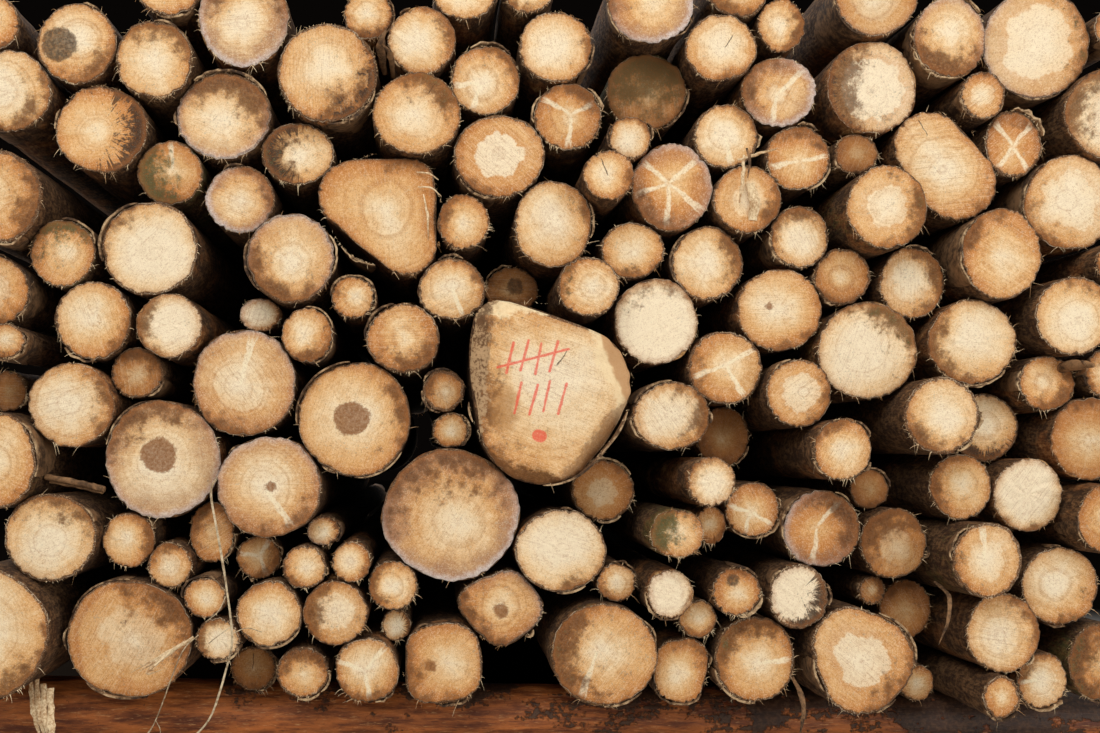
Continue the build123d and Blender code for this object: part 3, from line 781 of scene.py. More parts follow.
# %% Where the loops of a log lie
FACE_RINGS = np.array([0.16, 0.34, 0.52, 0.68, 0.82, 0.92, 0.97, 1.0])
FINE_RINGS = np.linspace(0.04, 1.0, 25)
BACK_RINGS = np.array([0.3, 0.6, 0.85, 0.96, 1.0])
BARREL = np.array([0.008, 0.022, 0.045, 0.08, 0.125, 0.18, 0.25, 0.34, 0.46, 0.62, 0.82, 1.05, 1.3,
                   1.6, 1.9, 2.2, 2.5, 2.72, 2.88, 2.96, 2.99]) / 3.0
THIN, THICK = 0.06, 0.2  # radii up to which a side of the ring gets one step or two
RIM_INSET, CHIP_DEPTH = 0.0024, 0.003
FACE_INSET, FACE_RELIEF, RIM_DROP = 0.0035, 0.0016, 0.002
BARREL_INSET, BARREL_RELIEF = 0.0012, 0.0016
FACET_SWELL = 0.007
LEAST_STEP = 0.0015  # the barrel's first loops stay this far behind one another


def soften(ring, steps):
    """A closed curve through the middles of the ring's sides: a parabola round each corner, read at
    as many places as there are steps."""
    after = np.roll(ring, -1, axis=0)
    last = np.roll(ring, 1, axis=0)
    start, end = (last + ring) / 2.0, (ring + after) / 2.0
    t = (np.arange(steps) / steps)[None, :, None]
    curve = (1 - t) ** 2 * start[:, None] + 2 * t * (1 - t) * ring[:, None] + t**2 * end[:, None]
    return curve.reshape(-1, 3)


def ripple(turns, along, seed, waves, longest, most=14):
    """A rough field that closes round the log: cosines with a whole number of waves round it and a
    pitch of their own along it, added up, from about -1 to 1."""
    pick = np.random.default_rng(seed)
    round_waves = pick.integers(1, most, waves)[:, None, None]
    pitch = longest * pick.uniform(0.15, 1.0, waves)[:, None, None]
    start = pick.uniform(0.0, FULL_TURN, waves)[:, None, None]
    field = np.cos(round_waves * turns[None, None] + FULL_TURN * along[None, :, None] / pitch + start)
    return field.sum(axis=0) / math.sqrt(waves)


def skin_of(front, back, seed, width, face_rings, axis=1):
    """The loops of one round log between two rings, with its two middles and, for each loop, the
    middle and the rim that it belongs to. The sawn faces are uneven by a millimetre or two, their
    rims are chipped, and the barrel swells and dips."""
    steps = 1 if width < THIN else 2 if width < THICK else 4
    front, back = soften(front, steps), soften(back, steps)
    turns = np.linspace(0.0, FULL_TURN, len(front), endpoint=False)
    middle = np.stack([front.mean(axis=0), back.mean(axis=0)])
    outward = front - middle[0]
    outward[:, axis] = 0.0
    outward /= np.linalg.norm(outward, axis=1)[:, None]
    chips = ripple(turns, np.zeros(2), seed + 2000, 14, 1.0, 36)
    faces = []
    for ring, chip, centre, rings, side in (
        (front, chips[0], middle[0], face_rings, -1.0),
        (back, -chips[1], middle[1], BACK_RINGS, 1.0),
    ):
        rim = ring - (RIM_INSET + CHIP_DEPTH * chip.clip(-0.8, 2.0))[:, None] * outward
        face = centre + rings[:, None, None] * (rim - centre)
        relief = ripple(turns, rings, seed, 10, 1.4) * FACE_RELIEF * (0.3 + rings[:, None])
        face[..., axis] += side * (relief - FACE_INSET - RIM_DROP * (rings[:, None] > 0.99))
        faces.append(face)
    if face_rings is FINE_RINGS:
        uneven = FACET_SWELL * ripple(turns, face_rings, seed + 5, 9, 1.6)
        for facet, (_, _, steep) in facets.items():
            faces[0][..., 1] += steep * (beyond(facet, faces[0][..., 0], faces[0][..., 2]) + uneven).clip(0.0)
    barrel = front + BARREL[:, None, None] * (back - front)
    length = np.linalg.norm(middle[1] - middle[0])
    bumps = ripple(turns, BARREL * length, seed + 1000, 16, 0.9) * BARREL_RELIEF - BARREL_INSET
    barrel += bumps[..., None] * outward
    behind = faces[0][-1, :, axis] + LEAST_STEP * np.arange(1, len(BARREL) + 1)[:, None]
    barrel[..., axis] = np.maximum(barrel[..., axis], behind)
    loops = np.concatenate([faces[0], barrel, faces[1][::-1]])
    centres = np.concatenate([
        np.broadcast_to(middle[0], faces[0].shape),
        middle[0] + BARREL[:, None, None] * (middle[1] - middle[0]) + np.zeros_like(barrel),
        np.broadcast_to(middle[1], faces[1].shape),
    ])
    rim_of = np.concatenate([
        np.broadcast_to(faces[0][-1], faces[0].shape),
        barrel,
        np.broadcast_to(faces[1][-1], faces[1].shape),
    ])
    return loops, middle, centres, rim_of


# %% One map for all the faces of a piece
FACE_CELL, BACK_CELL, STRIP_LOW = 0.66, 0.33, 0.67
FACE_FILL, STRIP_FILL = 0.48, 0.97  # how far half a face fills its square, and a barrel its strip
OTHER_WAY = [0, 3, 2, 1]  # the corners of a cell the other way round


def closed(grid):
    """A grid whose rows end with their first column once more, so that they close round the log."""
    return np.concatenate([grid, grid[:, :1]], axis=1)


def cells(grid):
    """The four corners of each cell of a grid: where it starts, a row on, a column on from there and
    a row back."""
    corners = np.stack([grid[:-1, :-1], grid[1:, :-1], grid[1:, 1:], grid[:-1, 1:]], axis=2)
    return corners.reshape(-1, 4, *grid.shape[2:])


def on_square(points, middle, low, side, axis):
    """Places on the map of a sawn end: as seen, in a square with that low corner and side."""
    off = seen_along(axis, points - middle)
    return low + side * (0.5 + FACE_FILL * off / np.abs(off).max())


def map_of(loops, seat, seats, face_count, axis):
    """The place on the map of each corner of each quad and triangle: the front ends share a large
    square, the back ends a small one, and the barrels lie in strips above them."""
    columns = math.ceil(math.sqrt(seats))
    corner = np.array((seat % columns, seat // columns))
    cell, small = FACE_CELL / columns, BACK_CELL / columns
    face, rear = loops[:face_count], loops[-len(BACK_RINGS):]
    low, low_back = corner * cell, np.array((FACE_CELL, 0.0)) + corner * small
    middles = face[-1].mean(axis=0), rear[0].mean(axis=0)
    face = on_square(face, middles[0], low, cell, axis)
    rear = on_square(rear, middles[1], low_back, small, axis)
    around = loops.shape[1]
    height = BACK_CELL / seats
    along = np.concatenate([[0.0], BARREL, [1.0]])[:, None] * np.ones(around + 1)
    above = STRIP_LOW + height * (seat + STRIP_FILL * np.arange(around + 1) / around)
    strip = np.stack([along, above * np.ones((len(along), 1))], axis=-1)
    face, rear = closed(face), closed(rear)
    first, last = face[0], rear[-1]
    near = np.broadcast_to(low + cell / 2.0, (around, 2))
    far = np.broadcast_to(low_back + small / 2.0, (around, 2))
    triangles = np.concatenate([
        np.stack([first[1:], near, first[:-1]], axis=1),
        np.stack([last[:-1], far, last[1:]], axis=1),
    ])
    return np.concatenate([cells(grid) for grid in (face, strip, rear)]), triangles


# %% Putting a mesh together
SHARP_ANGLE = math.radians(45.0)


def mesh_piece(name, shapes, materials):
    """One piece from several closed shapes. A shape is a dictionary: its points, quads and triangles
    with their kinds of material, and by name what its points carry and where its corners are mapped.
    Its triangles are added to the total."""
    global face_total
    starts = np.cumsum([0] + [len(shape["points"]) for shape in shapes])
    quads = np.concatenate([shape["quads"] + start for shape, start in zip(shapes, starts)])
    triangles = np.concatenate([shape["triangles"] + start for shape, start in zip(shapes, starts)])
    points = np.concatenate([shape["points"] for shape in shapes])
    mesh = bpy.data.meshes.new(name)
    mesh.vertices.add(len(points))
    mesh.vertices.foreach_set("co", points.astype(np.float32).ravel())
    corners = np.concatenate([quads.ravel(), triangles.ravel()]).astype(np.int32)
    mesh.loops.add(len(corners))
    mesh.loops.foreach_set("vertex_index", corners)
    face_starts = np.concatenate([np.arange(len(quads)) * 4, quads.size + np.arange(len(triangles)) * 3])
    mesh.polygons.add(len(face_starts))
    mesh.polygons.foreach_set("loop_start", face_starts.astype(np.int32))
    kinds = [shape.get("quad_kinds", np.zeros(len(shape["quads"]), int)) for shape in shapes]
    kinds.append(np.zeros(len(triangles), int))
    mesh.polygons.foreach_set("material_index", np.concatenate(kinds).astype(np.int32))
    mesh.update(calc_edges=True)
    for label in shapes[0]["carried"]:
        rows = np.concatenate([shape["carried"][label] for shape in shapes])
        values = mesh.attributes.new(label, "FLOAT_VECTOR", "POINT")
        values.data.foreach_set("vector", rows.astype(np.float32).ravel())
    if "maps" in shapes[0]:
        chart = np.concatenate([shape["maps"][k].reshape(-1, 2) for k in (0, 1) for shape in shapes])
        layer = mesh.uv_layers.new(name="OFBake")
        layer.uv.foreach_set("vector", chart.astype(np.float32).ravel())
    mesh.shade_smooth()
    mesh.set_sharp_from_angle(angle=SHARP_ANGLE)
    for material in materials:
        mesh.materials.append(material)
    piece = bpy.data.objects.new(name, mesh)
    bpy.context.scene.collection.objects.link(piece)
    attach(piece, "root")
    mesh.calc_loop_triangles()
    face_total += len(mesh.loop_triangles)
    return piece


def at_the_back(numbers):
    """The numbers of a log's back end: other knots, dirt and saw lines, while rot runs through."""
    return numbers | {
        "rays": 0.0,
        "crack_to": 0.0,
        "tone": 0.6 * numbers["tone"] + 0.15,
        "moss": 0.3 * numbers["moss"],
        "mould": 0.5 * numbers["mould"],
        "grime_side": numbers["grime_side"] + 2.4,
        "kerf_turn": numbers["kerf_turn"] + 1.1,
        "seed": numbers["seed"] + 13.0,
    }


def log_shape(front, back, numbers, seed, width, seat, seats, axis=1, face_rings=FACE_RINGS):
    """The shape of one log with all that its material reads. The grain of a point is its place from
    the pith, across and up, and how deep it lies below the rim."""
    loops, middle, centres, rim_of = skin_of(front, back, seed, width, face_rings, axis)
    count, around = loops.shape[:2]
    ids = np.arange(count * around).reshape(count, around)
    after = np.roll(ids, -1, axis=1)
    quads = cells(closed(ids))
    near, far = np.full(around, ids.size), np.full(around, ids.size + 1)
    triangles = np.concatenate([
        np.stack([after[0], near, ids[0]], axis=-1),
        np.stack([ids[-1], far, after[-1]], axis=-1),
    ])
    faces = quads, triangles, *map_of(loops, seat, seats, len(face_rings), axis)
    if axis == 0:
        faces = [one[:, ::-1] for one in faces]
    quads, triangles, *maps = faces
    kind = np.ones(count - 1, int)
    kind[: len(face_rings) - 1] = 0
    kind[-(len(BACK_RINGS) - 1):] = 0
    ends = middle.copy()
    ends[:, axis] = loops[0, :, axis].mean(), loops[-1, :, axis].mean()
    pith = width * np.array((numbers["pith_x"], numbers["pith_z"]))
    off = seen_along(axis, loops - centres)
    depth = np.linalg.norm(seen_along(axis, rim_of - centres), axis=2) - np.linalg.norm(off, axis=2)
    grain = np.concatenate([off - pith, depth[..., None]], axis=-1).reshape(-1, 3)
    grain = np.concatenate([grain, [(-pith[0], -pith[1], width)] * 2])
    behind = np.zeros((len(grain), 1), bool)
    behind[(count - len(BACK_RINGS)) * around : count * around] = True
    behind[-1] = True
    carried = {"grain": grain}
    for label, keys in CARRIED.items():
        front_row, back_row = ([side[key] for key in keys] for side in (numbers, at_the_back(numbers)))
        carried[label] = np.where(behind, back_row, front_row)
    return {
        "points": np.concatenate([loops.reshape(-1, 3), ends]),
        "quads": quads,
        "triangles": triangles,
        "quad_kinds": np.repeat(kind, around),
        "carried": carried,
        "maps": maps,
    }


# %% Dressing every log
for node in log_nodes:
    numbers = np.flatnonzero(node_of == node)
    shapes = []
    for seat, k in enumerate(numbers):
        own = {key: looks[key][k] for key in looks}
        rings = FINE_RINGS if k == marked_log else FACE_RINGS
        shapes.append(log_shape(fronts[k], backs[k], own, k, radius[k], seat, len(numbers), face_rings=rings))
    face_finish = marked.material if marked_log in numbers else wood_finish
    piece = mesh_piece(f"{node}_dressed", shapes, (face_finish, bark_finish))
    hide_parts(node)
print(face_total, "triangles on the logs")

# %% [markdown]
# ## The two bearers
# They lie across under the stack. The harvester stripped them, and rain has soaked them red-brown,
# with crusts of bark left on. Their tops and their right-hand ends are painted as dark as the crusts:
# painted shade, where the logs shade them. The same skin is wrapped round them, along the other axis.

# %% Dressing the bearers
for node, seed in zip(bearer_names, (512, 511)):
    corners, _ = merged_copy(node)
    near, far = two_ends(corners, 0)
    thick = np.linalg.norm(near - near.mean(axis=0), axis=1).mean()
    own = {"heart": 0.6, "grime": 0.7, "bark": 0.006, "kerf": 0.6, "tone": -0.2}
    shape = log_shape(near, far, dict.fromkeys(looks, 0.0) | own, seed, thick, 0, 1, axis=0)
    piece = mesh_piece(f"{node}_dressed", [shape], (wood_finish, bearer_finish))
    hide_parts(node)

# %% [markdown]
# ## How much room there is round each rim
# Torn fibres and flaps of bark can only stand out where no other log lies. So for each log and each
# turn round it, the free way outwards is worked out: the distance to another log's middle, less how
# far that log reaches towards the point. The least over all other logs is kept.

# %% Free room round the rims
TURN_COUNT = 72
LEAST_ROOM = 0.006  # how much room a fibre needs
FARTHER_BACK = 0.12  # a log that starts this much farther back leaves the room free
OPEN_ROOM = 1.0  # stands for any room where no log is near
turns_round = np.arange(TURN_COUNT) * (FULL_TURN / TURN_COUNT)


def reach_of(ring, turns):
    """How far a ring reaches from its middle at those turns, read between its corners."""
    off = seen_along(1, ring - ring.mean(axis=0))
    at = np.arctan2(off[:, 1], off[:, 0])
    order = np.argsort(at)
    return np.interp(turns, at[order], np.linalg.norm(off, axis=1)[order], period=FULL_TURN)


def free_round(rings, middles, outwards):
    """The reach and the free room of each log at each turn. Outwards is -1 at the front, 1 at the back."""
    reaches = np.array([reach_of(ring, turns_round) for ring in rings])
    ways = np.stack([np.cos(turns_round), np.sin(turns_round)], axis=-1)
    tips = middles[:, None, [0, 2]] + reaches[..., None] * ways
    free = np.full(reaches.shape, OPEN_ROOM)
    for other in range(log_total):
        off = tips - middles[other, [0, 2]]
        gap = np.linalg.norm(off, axis=-1) - reach_of(rings[other], np.arctan2(off[..., 1], off[..., 0]))
        gap[other] = OPEN_ROOM
        gap[outwards * (middles[other, 1] - middles[:, 1]) < -FARTHER_BACK] = OPEN_ROOM
        free = np.minimum(free, gap)
    return reaches, free


rims = {
    "front": (*free_round(fronts, front_middle, -1.0), front_middle, -1.0),
    "back": (*free_round(backs, back_middle, 1.0), back_middle, 1.0),
}
print("share of the rims that is free:", round(float((rims["front"][1] > LEAST_ROOM).mean()), 2))

# %% [markdown]
# ## Torn fibres
# The saw tears long pale fibres out of the bast at the rim. Hair would do, but it isn't exported, so
# each fibre is a thin three-sided spike along a path that leaves the rim and droops. All of them
# are worked out at once as one array: fibre, place along it, corner.

# %% Fibres on the rims
FIBRE_STEPS = np.array([0.0, 0.4, 0.75, 1.0])
FIBRE_SIDES = 3
FIBRE_LEAST, FIBRE_MORE = 0.005, 0.024  # the shortest fibre, and how much longer some are
FIBRE_ROOT = 0.004  # how deep it starts in the rim
FIBRE_THIN, FIBRE_WIDE = 0.0006, 0.0017  # its radius at the root
FIBRE_TRIES = {"front": 27000, "back": 6000}  # about a quarter of them find a torn stretch with room


def fibres(end, count, seed):
    """Fibres on the rims of one end of the stack: each point is the rim, plus its length times the
    way that it leaves by, less a droop that grows with the square of the way along."""
    reaches, free, middles, outwards = rims[end]
    pick = np.random.default_rng(seed)
    whose = pick.integers(0, log_total, count)
    place = pick.integers(0, TURN_COUNT, count)
    tangled = (np.sin(place * 0.9 + whose * 2.3) + np.sin(place * 0.31 + whose) + 0.9) / 2.9
    keep = pick.uniform(0.0, 1.0, count) < tangled * looks["fray"][whose]
    keep &= free[whose, place] > LEAST_ROOM
    whose, place = whose[keep], place[keep]
    total = len(whose)
    turn = turns_round[place] + pick.uniform(-0.04, 0.04, total)
    out = np.stack([np.cos(turn), np.zeros(total), np.sin(turn)], axis=-1)
    side = np.stack([-np.sin(turn), np.zeros(total), np.cos(turn)], axis=-1)
    ahead = np.array((0.0, outwards, 0.0))
    length = pick.uniform(0.0, 1.0, total) ** 3 * FIBRE_MORE + FIBRE_LEAST
    length = length.clip(None, 0.9 * free[whose, place])
    way = out * pick.uniform(0.1, 0.9, (total, 1)) + side * pick.uniform(-1.1, 1.1, (total, 1))
    way = way + ahead * pick.uniform(-0.2, 0.6, (total, 1))
    root = middles[whose] + out * (reaches[whose, place] - FIBRE_ROOT)[:, None] - ahead * FIBRE_ROOT
    t = FIBRE_STEPS[None, :, None]
    droop = np.array((0.0, 0.0, -1.0)) * pick.uniform(0.0, 0.7, (total, 1))
    path = root[:, None] + length[:, None, None] * (t * way[:, None] + t**2 * droop[:, None])
    wide = pick.uniform(FIBRE_THIN, FIBRE_WIDE, total)[:, None, None] * (1.0 - 0.8 * t)
    spin = np.arange(FIBRE_SIDES) * (FULL_TURN / FIBRE_SIDES)
    ring = np.cos(spin)[None, None, :, None] * side[:, None, None]
    ring = ring + np.sin(spin)[None, None, :, None] * ahead
    points = (path[:, :, None] + wide[..., None] * ring).reshape(-1, 3)
    ids = np.arange(len(points)).reshape(total, len(FIBRE_STEPS), FIBRE_SIDES)
    after = np.roll(ids, -1, axis=2)
    quads = np.stack([ids[:, :-1], after[:, :-1], after[:, 1:], ids[:, 1:]], axis=-1).reshape(-1, 4)
    return plain_shape(points, quads, np.concatenate([ids[:, 0, ::-1], ids[:, -1]]))


def plain_shape(points, quads, triangles=np.zeros((0, 3), int), lit=0.0):
    """A closed shape that carries only how light its edge is. Its faces are turned round where they
    enclose less than nothing: the volume is a sixth of the sum over its triangles of one corner
    times the cross product of the other two."""
    halves = np.concatenate([quads[:, [0, 1, 2]], quads[:, [0, 2, 3]], triangles])
    a, b, c = points[halves].transpose(1, 0, 2)
    if (a * np.cross(b, c)).sum() < 0.0:
        quads, triangles = quads[:, ::-1], triangles[:, ::-1]
    carried = {"lit": np.zeros((len(points), 3)) + lit}
    return {"points": points, "quads": quads, "triangles": triangles, "carried": carried}


for seed, (end, count) in enumerate(FIBRE_TRIES.items(), 7):
    piece = mesh_piece(f"torn_fibres_{end}", [fibres(end, count, seed)], (loose["pale_bast"],))
    print(end, "fibres:", len(piece.data.vertices) // (len(FIBRE_STEPS) * FIBRE_SIDES))

# %% [markdown]
# ## Flaps of bark
# Bark that the saw loosened stands off a little round the end, with a ragged, light edge. Each flap
# is a shell: an outer and an inner sheet on the same grid of turn and depth, closed round its edges.
# It follows the log's own outline, and its lift grows towards the sawn end.

# %% Flaps of bark round the ends
FLAP_ROWS = 5
FLAP_TRIES = 3  # how many stretches of a log's rim are tried
LEAST_BARK = 0.0018  # a log with less bark has no flaps
FLAP_THICK, FLAP_LIFT = 0.005, 0.01  # the most of each
FLAP_SPARE = 0.004  # the least room beyond a flap


def flap(end, number, first, last, depth, thick, lift, seed):
    """A flap between two turns. Reach: the log's own, plus the lift times the square of how near the
    sawn end it is, plus, on the outer sheet, the thickness, which thins out at the ragged edges."""
    reaches, free, middles, outwards = rims[end]
    count = max(5, int((last - first) / 0.09))
    turn = np.linspace(first, last, count)
    pick = np.random.default_rng(seed)
    waves = pick.uniform(3.0, 26.0, 7)[:, None]
    ragged = np.cos(waves * turn + pick.uniform(0.0, FULL_TURN, (7, 1))).sum(axis=0) / 4.0
    v = np.linspace(0.0, 1.0, FLAP_ROWS)[:, None]
    hem = np.sin(np.linspace(0.0, math.pi, count)) ** 0.5
    start = -0.001 - 0.006 * ragged.clip(-1.2, 1.2)
    along = start + v * (depth * (0.4 + 0.6 * hem) - start) + 0.01 * v * ragged
    own = np.interp(turn, turns_round, reaches[number], period=FULL_TURN)
    base = own + lift * (1.0 - v) ** 2 * (0.5 + 0.5 * np.roll(ragged, count // 3)).clip(0.0, 1.0) * hem
    skin = thick * (0.35 + 0.65 * hem) * (1.0 - 0.5 * v**2)
    ways = np.stack([np.cos(turn), np.zeros(count), np.sin(turn)], axis=-1)
    ahead = np.array((0.0, -outwards, 0.0))

    def sheet(reach):
        return middles[number] + reach[..., None] * ways + along[..., None] * ahead

    outer, inner = sheet(base + skin), sheet(base - 0.0008)
    points = np.concatenate([outer.reshape(-1, 3), inner.reshape(-1, 3)])
    ids = np.arange(FLAP_ROWS * count).reshape(FLAP_ROWS, count)
    under = ids + ids.size
    walls = [np.stack(pair) for pair in (
        (under[:, 0], ids[:, 0]), (ids[:, -1], under[:, -1]), (ids[0], under[0]), (under[-1], ids[-1]))]
    top, bottom, *walls = [cells(grid)[:, OTHER_WAY] for grid in (ids, under, *walls)]
    lit = np.zeros((2, FLAP_ROWS, count, 3))
    lit[:, 0] = 1.0
    return plain_shape(points, np.concatenate([top, bottom[:, ::-1], *walls]), lit=lit.reshape(-1, 3))


def flaps(end, seed):
    """Flaps on the logs with bark, where a random stretch of the rim has room."""
    free = rims[end][1]
    pick = np.random.default_rng(seed)
    made = []
    for number in np.flatnonzero(looks["bark"] > LEAST_BARK):
        for _ in range(FLAP_TRIES):
            start, wide = pick.integers(0, TURN_COUNT), pick.integers(3, 20)
            room = free[number, (start + np.arange(wide)) % TURN_COUNT].min()
            lift = FLAP_LIFT * pick.uniform(0.0, 1.0) ** 2
            thick = min(FLAP_THICK, looks["bark"][number] + 0.001)
            if room < thick + FLAP_SPARE:
                continue
            first, last = turns_round[start], turns_round[start] + wide * FULL_TURN / TURN_COUNT
            depth = pick.uniform(0.02, 0.22)
            made.append(flap(end, number, first, last, depth, thick, min(lift, 0.6 * room), seed + len(made)))
    return made


for seed, end in enumerate(rims, 40):
    shells = flaps(end, seed)
    mesh_piece(f"bark_flaps_{end}", shells, (loose["torn_bark"],))
    print(end, "flaps:", len(shells))

# %% [markdown]
# ## Twigs, stubs and shreds
# A few twigs, branch stubs and strips of bark are caught between the logs. Each is an oval carried
# along a path of a few points that a smooth curve joins. Where it is thin it looks like a twig, and
# where it is wide and flat like a strip of bark.


# %% An oval carried along a path
def smooth_path(points, count):
    """A curve through the points: each coordinate is a cubic between neighbours whose slopes are
    half the way from the point before to the point after."""
    points = np.array(points, float)
    slopes = np.gradient(points, axis=0)
    at = np.linspace(0.0, len(points) - 1.0, count)
    k = np.minimum(at.astype(int), len(points) - 2)
    t = (at - k)[:, None]
    a, b = points[k], points[k + 1]
    hermite = (2 * t**3 - 3 * t**2 + 1) * a + (3 * t**2 - 2 * t**3) * b
    return hermite + (t**3 - 2 * t**2 + t) * slopes[k] + (t**3 - t**2) * slopes[k + 1]


ALONG_THE_LOGS = np.array((0.08, 1.0, 0.1))


def swept(points, wide, thick, seed, count=14, sides=8, knobbly=0.15):
    """An oval of a width and a thickness in millimetres, or of several at even steps, carried along
    a smooth path in centimetres and closed by a point at both ends. The thickness lies nearly along
    the logs."""
    path = smooth_path(points, count) / 100.0
    at = np.linspace(0.0, 1.0, count)
    wide, thick = (
        np.interp(at, np.linspace(0.0, 1.0, np.size(size)), np.atleast_1d(size)) / 2000.0
        for size in (wide, thick)
    )
    along = np.gradient(path, axis=0)
    along /= np.linalg.norm(along, axis=1)[:, None]
    across = np.cross(along, ALONG_THE_LOGS)
    across /= np.linalg.norm(across, axis=1)[:, None]
    deep = np.cross(across, along)
    spin = np.arange(sides) * (FULL_TURN / sides)
    rough = 1.0 + knobbly * ripple(spin, at, seed, 8, 0.5, 4)
    ring = (np.cos(spin)[None, :] * wide[:, None] * rough)[..., None] * across[:, None]
    ring = ring + (np.sin(spin)[None, :] * thick[:, None] * rough)[..., None] * deep[:, None]
    points = np.concatenate([(path[:, None] + ring).reshape(-1, 3), path[[0, -1]]])
    ids = np.arange(count * sides).reshape(count, sides)
    after = np.roll(ids, -1, axis=1)
    near, far = np.full(sides, ids.size), np.full(sides, ids.size + 1)
    triangles = np.concatenate([
        np.stack([near, after[0], ids[0]], axis=-1),
        np.stack([ids[-1], after[-1], far], axis=-1),
    ])
    return plain_shape(points, cells(closed(ids))[:, OTHER_WAY], triangles)


# %% What is caught in the stack
FACE_Y = -163.0  # just in front of most sawn ends, in centimetres
split, torn = (100.0 * front_middle[log_at(*spot), 1] for spot in ((54.0, 160.0), (-48.0, 157.0)))
ROUGH = (12, 8, 0.25)  # steps along the path, sides and knobbliness
RAGGED = (14, 6, 0.3)
SLIVER = (10, 6, 0.3)
CAUGHT = {
    "caught_twigs": ("grey_twig", [
        ([(-91.6, -150, 83), (-91.0, FACE_Y, 79), (-88.3, -166, 66), (-86.1, -167, 54), (-84.7, -167, 41),
          (-86.6, -166, 32), (-90.7, -165, 20), (-96.5, -163, 13)], (7, 5), (6, 4), 1, 40, 6),
        ([(-96, -152, 40), (-99.0, FACE_Y, 36), (-105.6, -164, 18.4), (-109.4, -163, 13.7)],
         3.6, 3.2, 2, 20, 6),
        ([(-105.4, -164, 18.6), (-104.0, -165, 16.4), (-104.2, -165, 13.6)], 2.4, 2.2, 5, 8, 5),
        ([(-86.4, -166.6, 52), (-88.4, -167, 48), (-92.0, -165, 45)], 2.6, 2.4, 3, 10, 5),
        ([(-85.0, -166.6, 44), (-88.5, -167, 41.5), (-91.0, -166, 39.5)], 2.4, 2.2, 4, 10, 5),
        ([(-85.0, -166.6, 42), (-81.0, -166, 43.5), (-77.5, -163, 42)], 2.4, 2.2, 7, 10, 5),
    ]),
    "branch_stubs": ("torn_bark", [
        ([(143.0, -140, 112.0), (141.6, -156, 113.4), (143.9, -163, 113.0)],
         (40, 34, 12), (30, 26, 10), 12, 12, 12, 0.16),
        ([(146.6, -146, 110.4), (145.0, -157, 112.4), (139.6, -165, 114.0)],
         (22, 18, 5), (16, 14, 4), 13, 14, 8, 0.2),
        ([(-45.4, -146, 196.0), (-46.2, -156, 200.4), (-44.6, -158, 204.2)],
         (16, 24, 5), (9, 8, 3), 14, *ROUGH),
        ([(-43.0, -146, 195.0), (-43.6, -156, 198.0), (-45.2, -159, 199.4)],
         (12, 17, 4), (8, 8, 3), 15, *ROUGH),
    ]),
    "broken_splinters": ("pale_bast", [
        ([(53.0, split - 1.0, 171), (52.6, split - 1.6, 165), (51.8, split - 0.8, 158)],
         (6, 10, 4), (5, 6, 3), 50, *RAGGED),
        ([(55.0, split, 163.4), (56.0, split - 0.7, 158), (55.6, split, 153.4)],
         (22, 30, 24), (10, 18, 8), 51, 10, 6, 0.14),
        ([(51.4, split - 1, 169.6), (57.0, split - 2, 171.2), (62.6, split + 1, 173.2)],
         (5, 9, 4), (5, 7, 3), 52, *RAGGED),
        ([(-34.6, torn, 161.0), (-33.4, torn - 0.8, 155), (-33.2, torn, 148.6)],
         (3, 8, 3), (3, 5, 2), 53, 12, 6, 0.3),
        ([(-36.4, torn, 167.0), (-33.0, torn - 1.2, 166.4), (-30.4, torn - 0.6, 164.8)],
         (3, 5, 2), (3, 4, 2), 54, *SLIVER),
        ([(-36.0, torn, 163.0), (-32.4, torn - 1.4, 162.4), (-29.6, torn, 160.4)],
         (3, 5, 2), (3, 4, 2), 55, *SLIVER),
        *[([(-97 - k, -156 - k, 39.4 - 0.5 * k), (-104 - k, -159 - k, 35.6 - 1.1 * k),
            (-113.4 + 2.4 * k, -159 - k, 30.4 + 0.4 * k)], (9 - k, 8, 1.5), (7, 5, 1.5), 60 + k, *RAGGED)
          for k in range(5)],
        *[([(-143.6 + 2.2 * k, -150 - k, 28 - k), (-141.4 + 1.9 * k, -153 - k, 19 - 1.4 * k),
            (-139.8 + 1.6 * k, -152 - k, 10 + 0.7 * k)], (12 + 3 * k, 20, 4), (9, 11, 3), 70 + k, 14, 7, 0.3)
          for k in range(4)],
    ]),
    "hanging_strips": ("torn_bark", [
        ([(-140, -148, 83.0), (-131, -149, 81.4), (-122.6, -151, 79.6)], 17, 13, 8, 16),
        ([(-139, -147, 81.6), (-131, -148, 80.2), (-123.4, -150, 78.6)], 10, 9, 9, 16, 8, 0.2),
        ([(52.9, -158, 172.0), (53.2, -160, 168.0), (52.6, -160, 163.5)], (6, 8, 2), 2, 21, 12, 8, 0.3),
        ([(67.0, -152, 28.0), (67.7, -158, 24.0), (67.9, -159, 19.0), (67.2, -158, 13.4)],
         (9, 14, 12, 3), 3, 22, 18),
        ([(107.2, -150, 54), (106.7, -160, 51.0), (105.4, -162, 44.5), (103.4, -161, 38.2)],
         (8, 13, 9, 2), 3, 23, 18),
    ]),
}
for name, (kind, rows) in CAUGHT.items():
    mesh_piece(name, [swept(*row) for row in rows], (loose[kind],))
    print(len(rows), name)
print(face_total, "triangles in all")

# %% [markdown]
# ## The studio
# The camera stands where the stack was seen from: level, a little left of the middle, with a small
# shift in place of a tilt, so that the logs' ends stay upright. The floor is pale, with painted
# shade: it is painted dark under and round the stack and, seen straight, near black from about three
# metres out. The lamps are large and soft, at a level at which a colour renders about as it is
# written. Seen straight, the world behind the stack is painted dark, painted shade so that the gaps
# look as deep as they do in a thick stack, while the light that the world gives stays white.

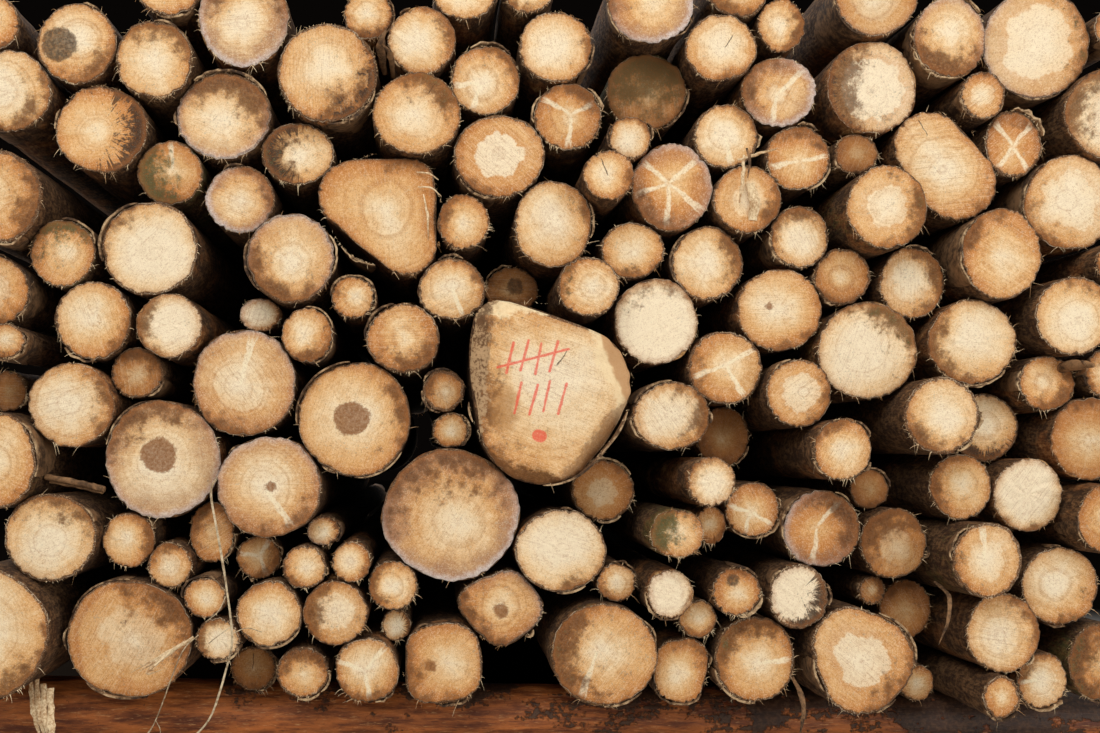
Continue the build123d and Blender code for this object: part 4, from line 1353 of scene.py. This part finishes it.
# %% The camera and the floor
camera = bpy.data.objects.new("camera", bpy.data.cameras.new("camera"))
camera.location = (-0.327, -4.7255, 0.904)
camera.rotation_euler = (math.radians(90.0), 0.0, 0.0)
camera.data.sensor_width = 36.0
camera.data.lens = 38.08
camera.data.shift_x = 0.109
camera.data.shift_y = 0.076
bpy.context.scene.collection.objects.link(camera)
bpy.context.scene.camera = camera

ground = bpy.data.meshes.new("floor")
ground.from_pydata([(-30, -30, 0), (30, -30, 0), (30, 30, 0), (-30, 30, 0)], [], [(0, 1, 2, 3)])
floor = bpy.data.objects.new("floor", ground)
floor_paint = Finish("pale_floor")
x, y, z = floor_paint.parts(floor_paint.place())
far_off = (x * x + y * y) ** 0.5
seen = floor_paint.node("ShaderNodeLightPath", {}, {}, "Is Camera Ray")
# Painted shade: the floor under the stack, and a soft band round it, is painted dark brown.
painted_shade_under_stack = x.size().fall(1.95, 2.5) * y.size().fall(1.0, 1.6)
floor_paint.skin = floor_paint.mix(painted_shade_under_stack, (214, 210, 204), (34, 28, 23))
# Painted shade: seen straight, the floor from about three metres out is painted near black, so that it shows
# dark through the gaps and the stack seems to stand in a pool of light.
floor_paint.coat(far_off.rise(2.5, 4.0) * seen, (13, 10, 8))
ground.materials.append(floor_paint.wear(0.9, 0.5, 0.0, 0.0))
bpy.context.scene.collection.objects.link(floor)

# %% The world and the lamps
world = bpy.data.worlds.new("studio")
bpy.context.scene.world = world
world.use_nodes = True
wires = world.node_tree
light = wires.nodes["Background"]
light.inputs["Color"].default_value = (1.0, 0.99, 0.97, 1.0)
light.inputs["Strength"].default_value = 0.3
# Painted shade: camera rays see this near-black world, not the white one that lights the stack.
seen = wires.nodes.new("ShaderNodeBackground")
seen.inputs["Color"].default_value = colour(8, 6, 5)
seen.inputs["Strength"].default_value = 1.0
path = wires.nodes.new("ShaderNodeLightPath")
chosen = wires.nodes.new("ShaderNodeMixShader")
wires.links.new(path.outputs["Is Camera Ray"], chosen.inputs[0])
wires.links.new(light.outputs[0], chosen.inputs[1])
wires.links.new(seen.outputs[0], chosen.inputs[2])
wires.links.new(chosen.outputs[0], wires.nodes["World Output"].inputs["Surface"])


def soft_light(name, place, aim, width, power):
    """A large square lamp at a place, turned to face a point."""
    lamp = bpy.data.lights.new(name, "AREA")
    lamp.shape, lamp.size, lamp.energy = "SQUARE", width, power
    holder = bpy.data.objects.new(name, lamp)
    holder.location = place
    way = np.array(aim, float) - np.array(place, float)
    holder.rotation_euler = (
        math.atan2(math.hypot(way[0], way[1]), -way[2]),
        0.0,
        math.atan2(way[1], way[0]) - math.pi / 2.0,
    )
    bpy.context.scene.collection.objects.link(holder)


soft_light("sky_front", (-1.8, -6.2, 5.8), (0.0, 0.0, 1.0), 5.0, 325.0)
soft_light("fill_right", (5.0, -6.2, 1.8), (0.3, 0.0, 0.5), 4.0, 164.0)
soft_light("sky_back", (-3.0, 6.0, 6.0), (0.0, 0.0, 1.0), 5.0, 260.0)

# %% How colours are shown, and the end
bpy.context.scene.view_settings.view_transform = "Standard"
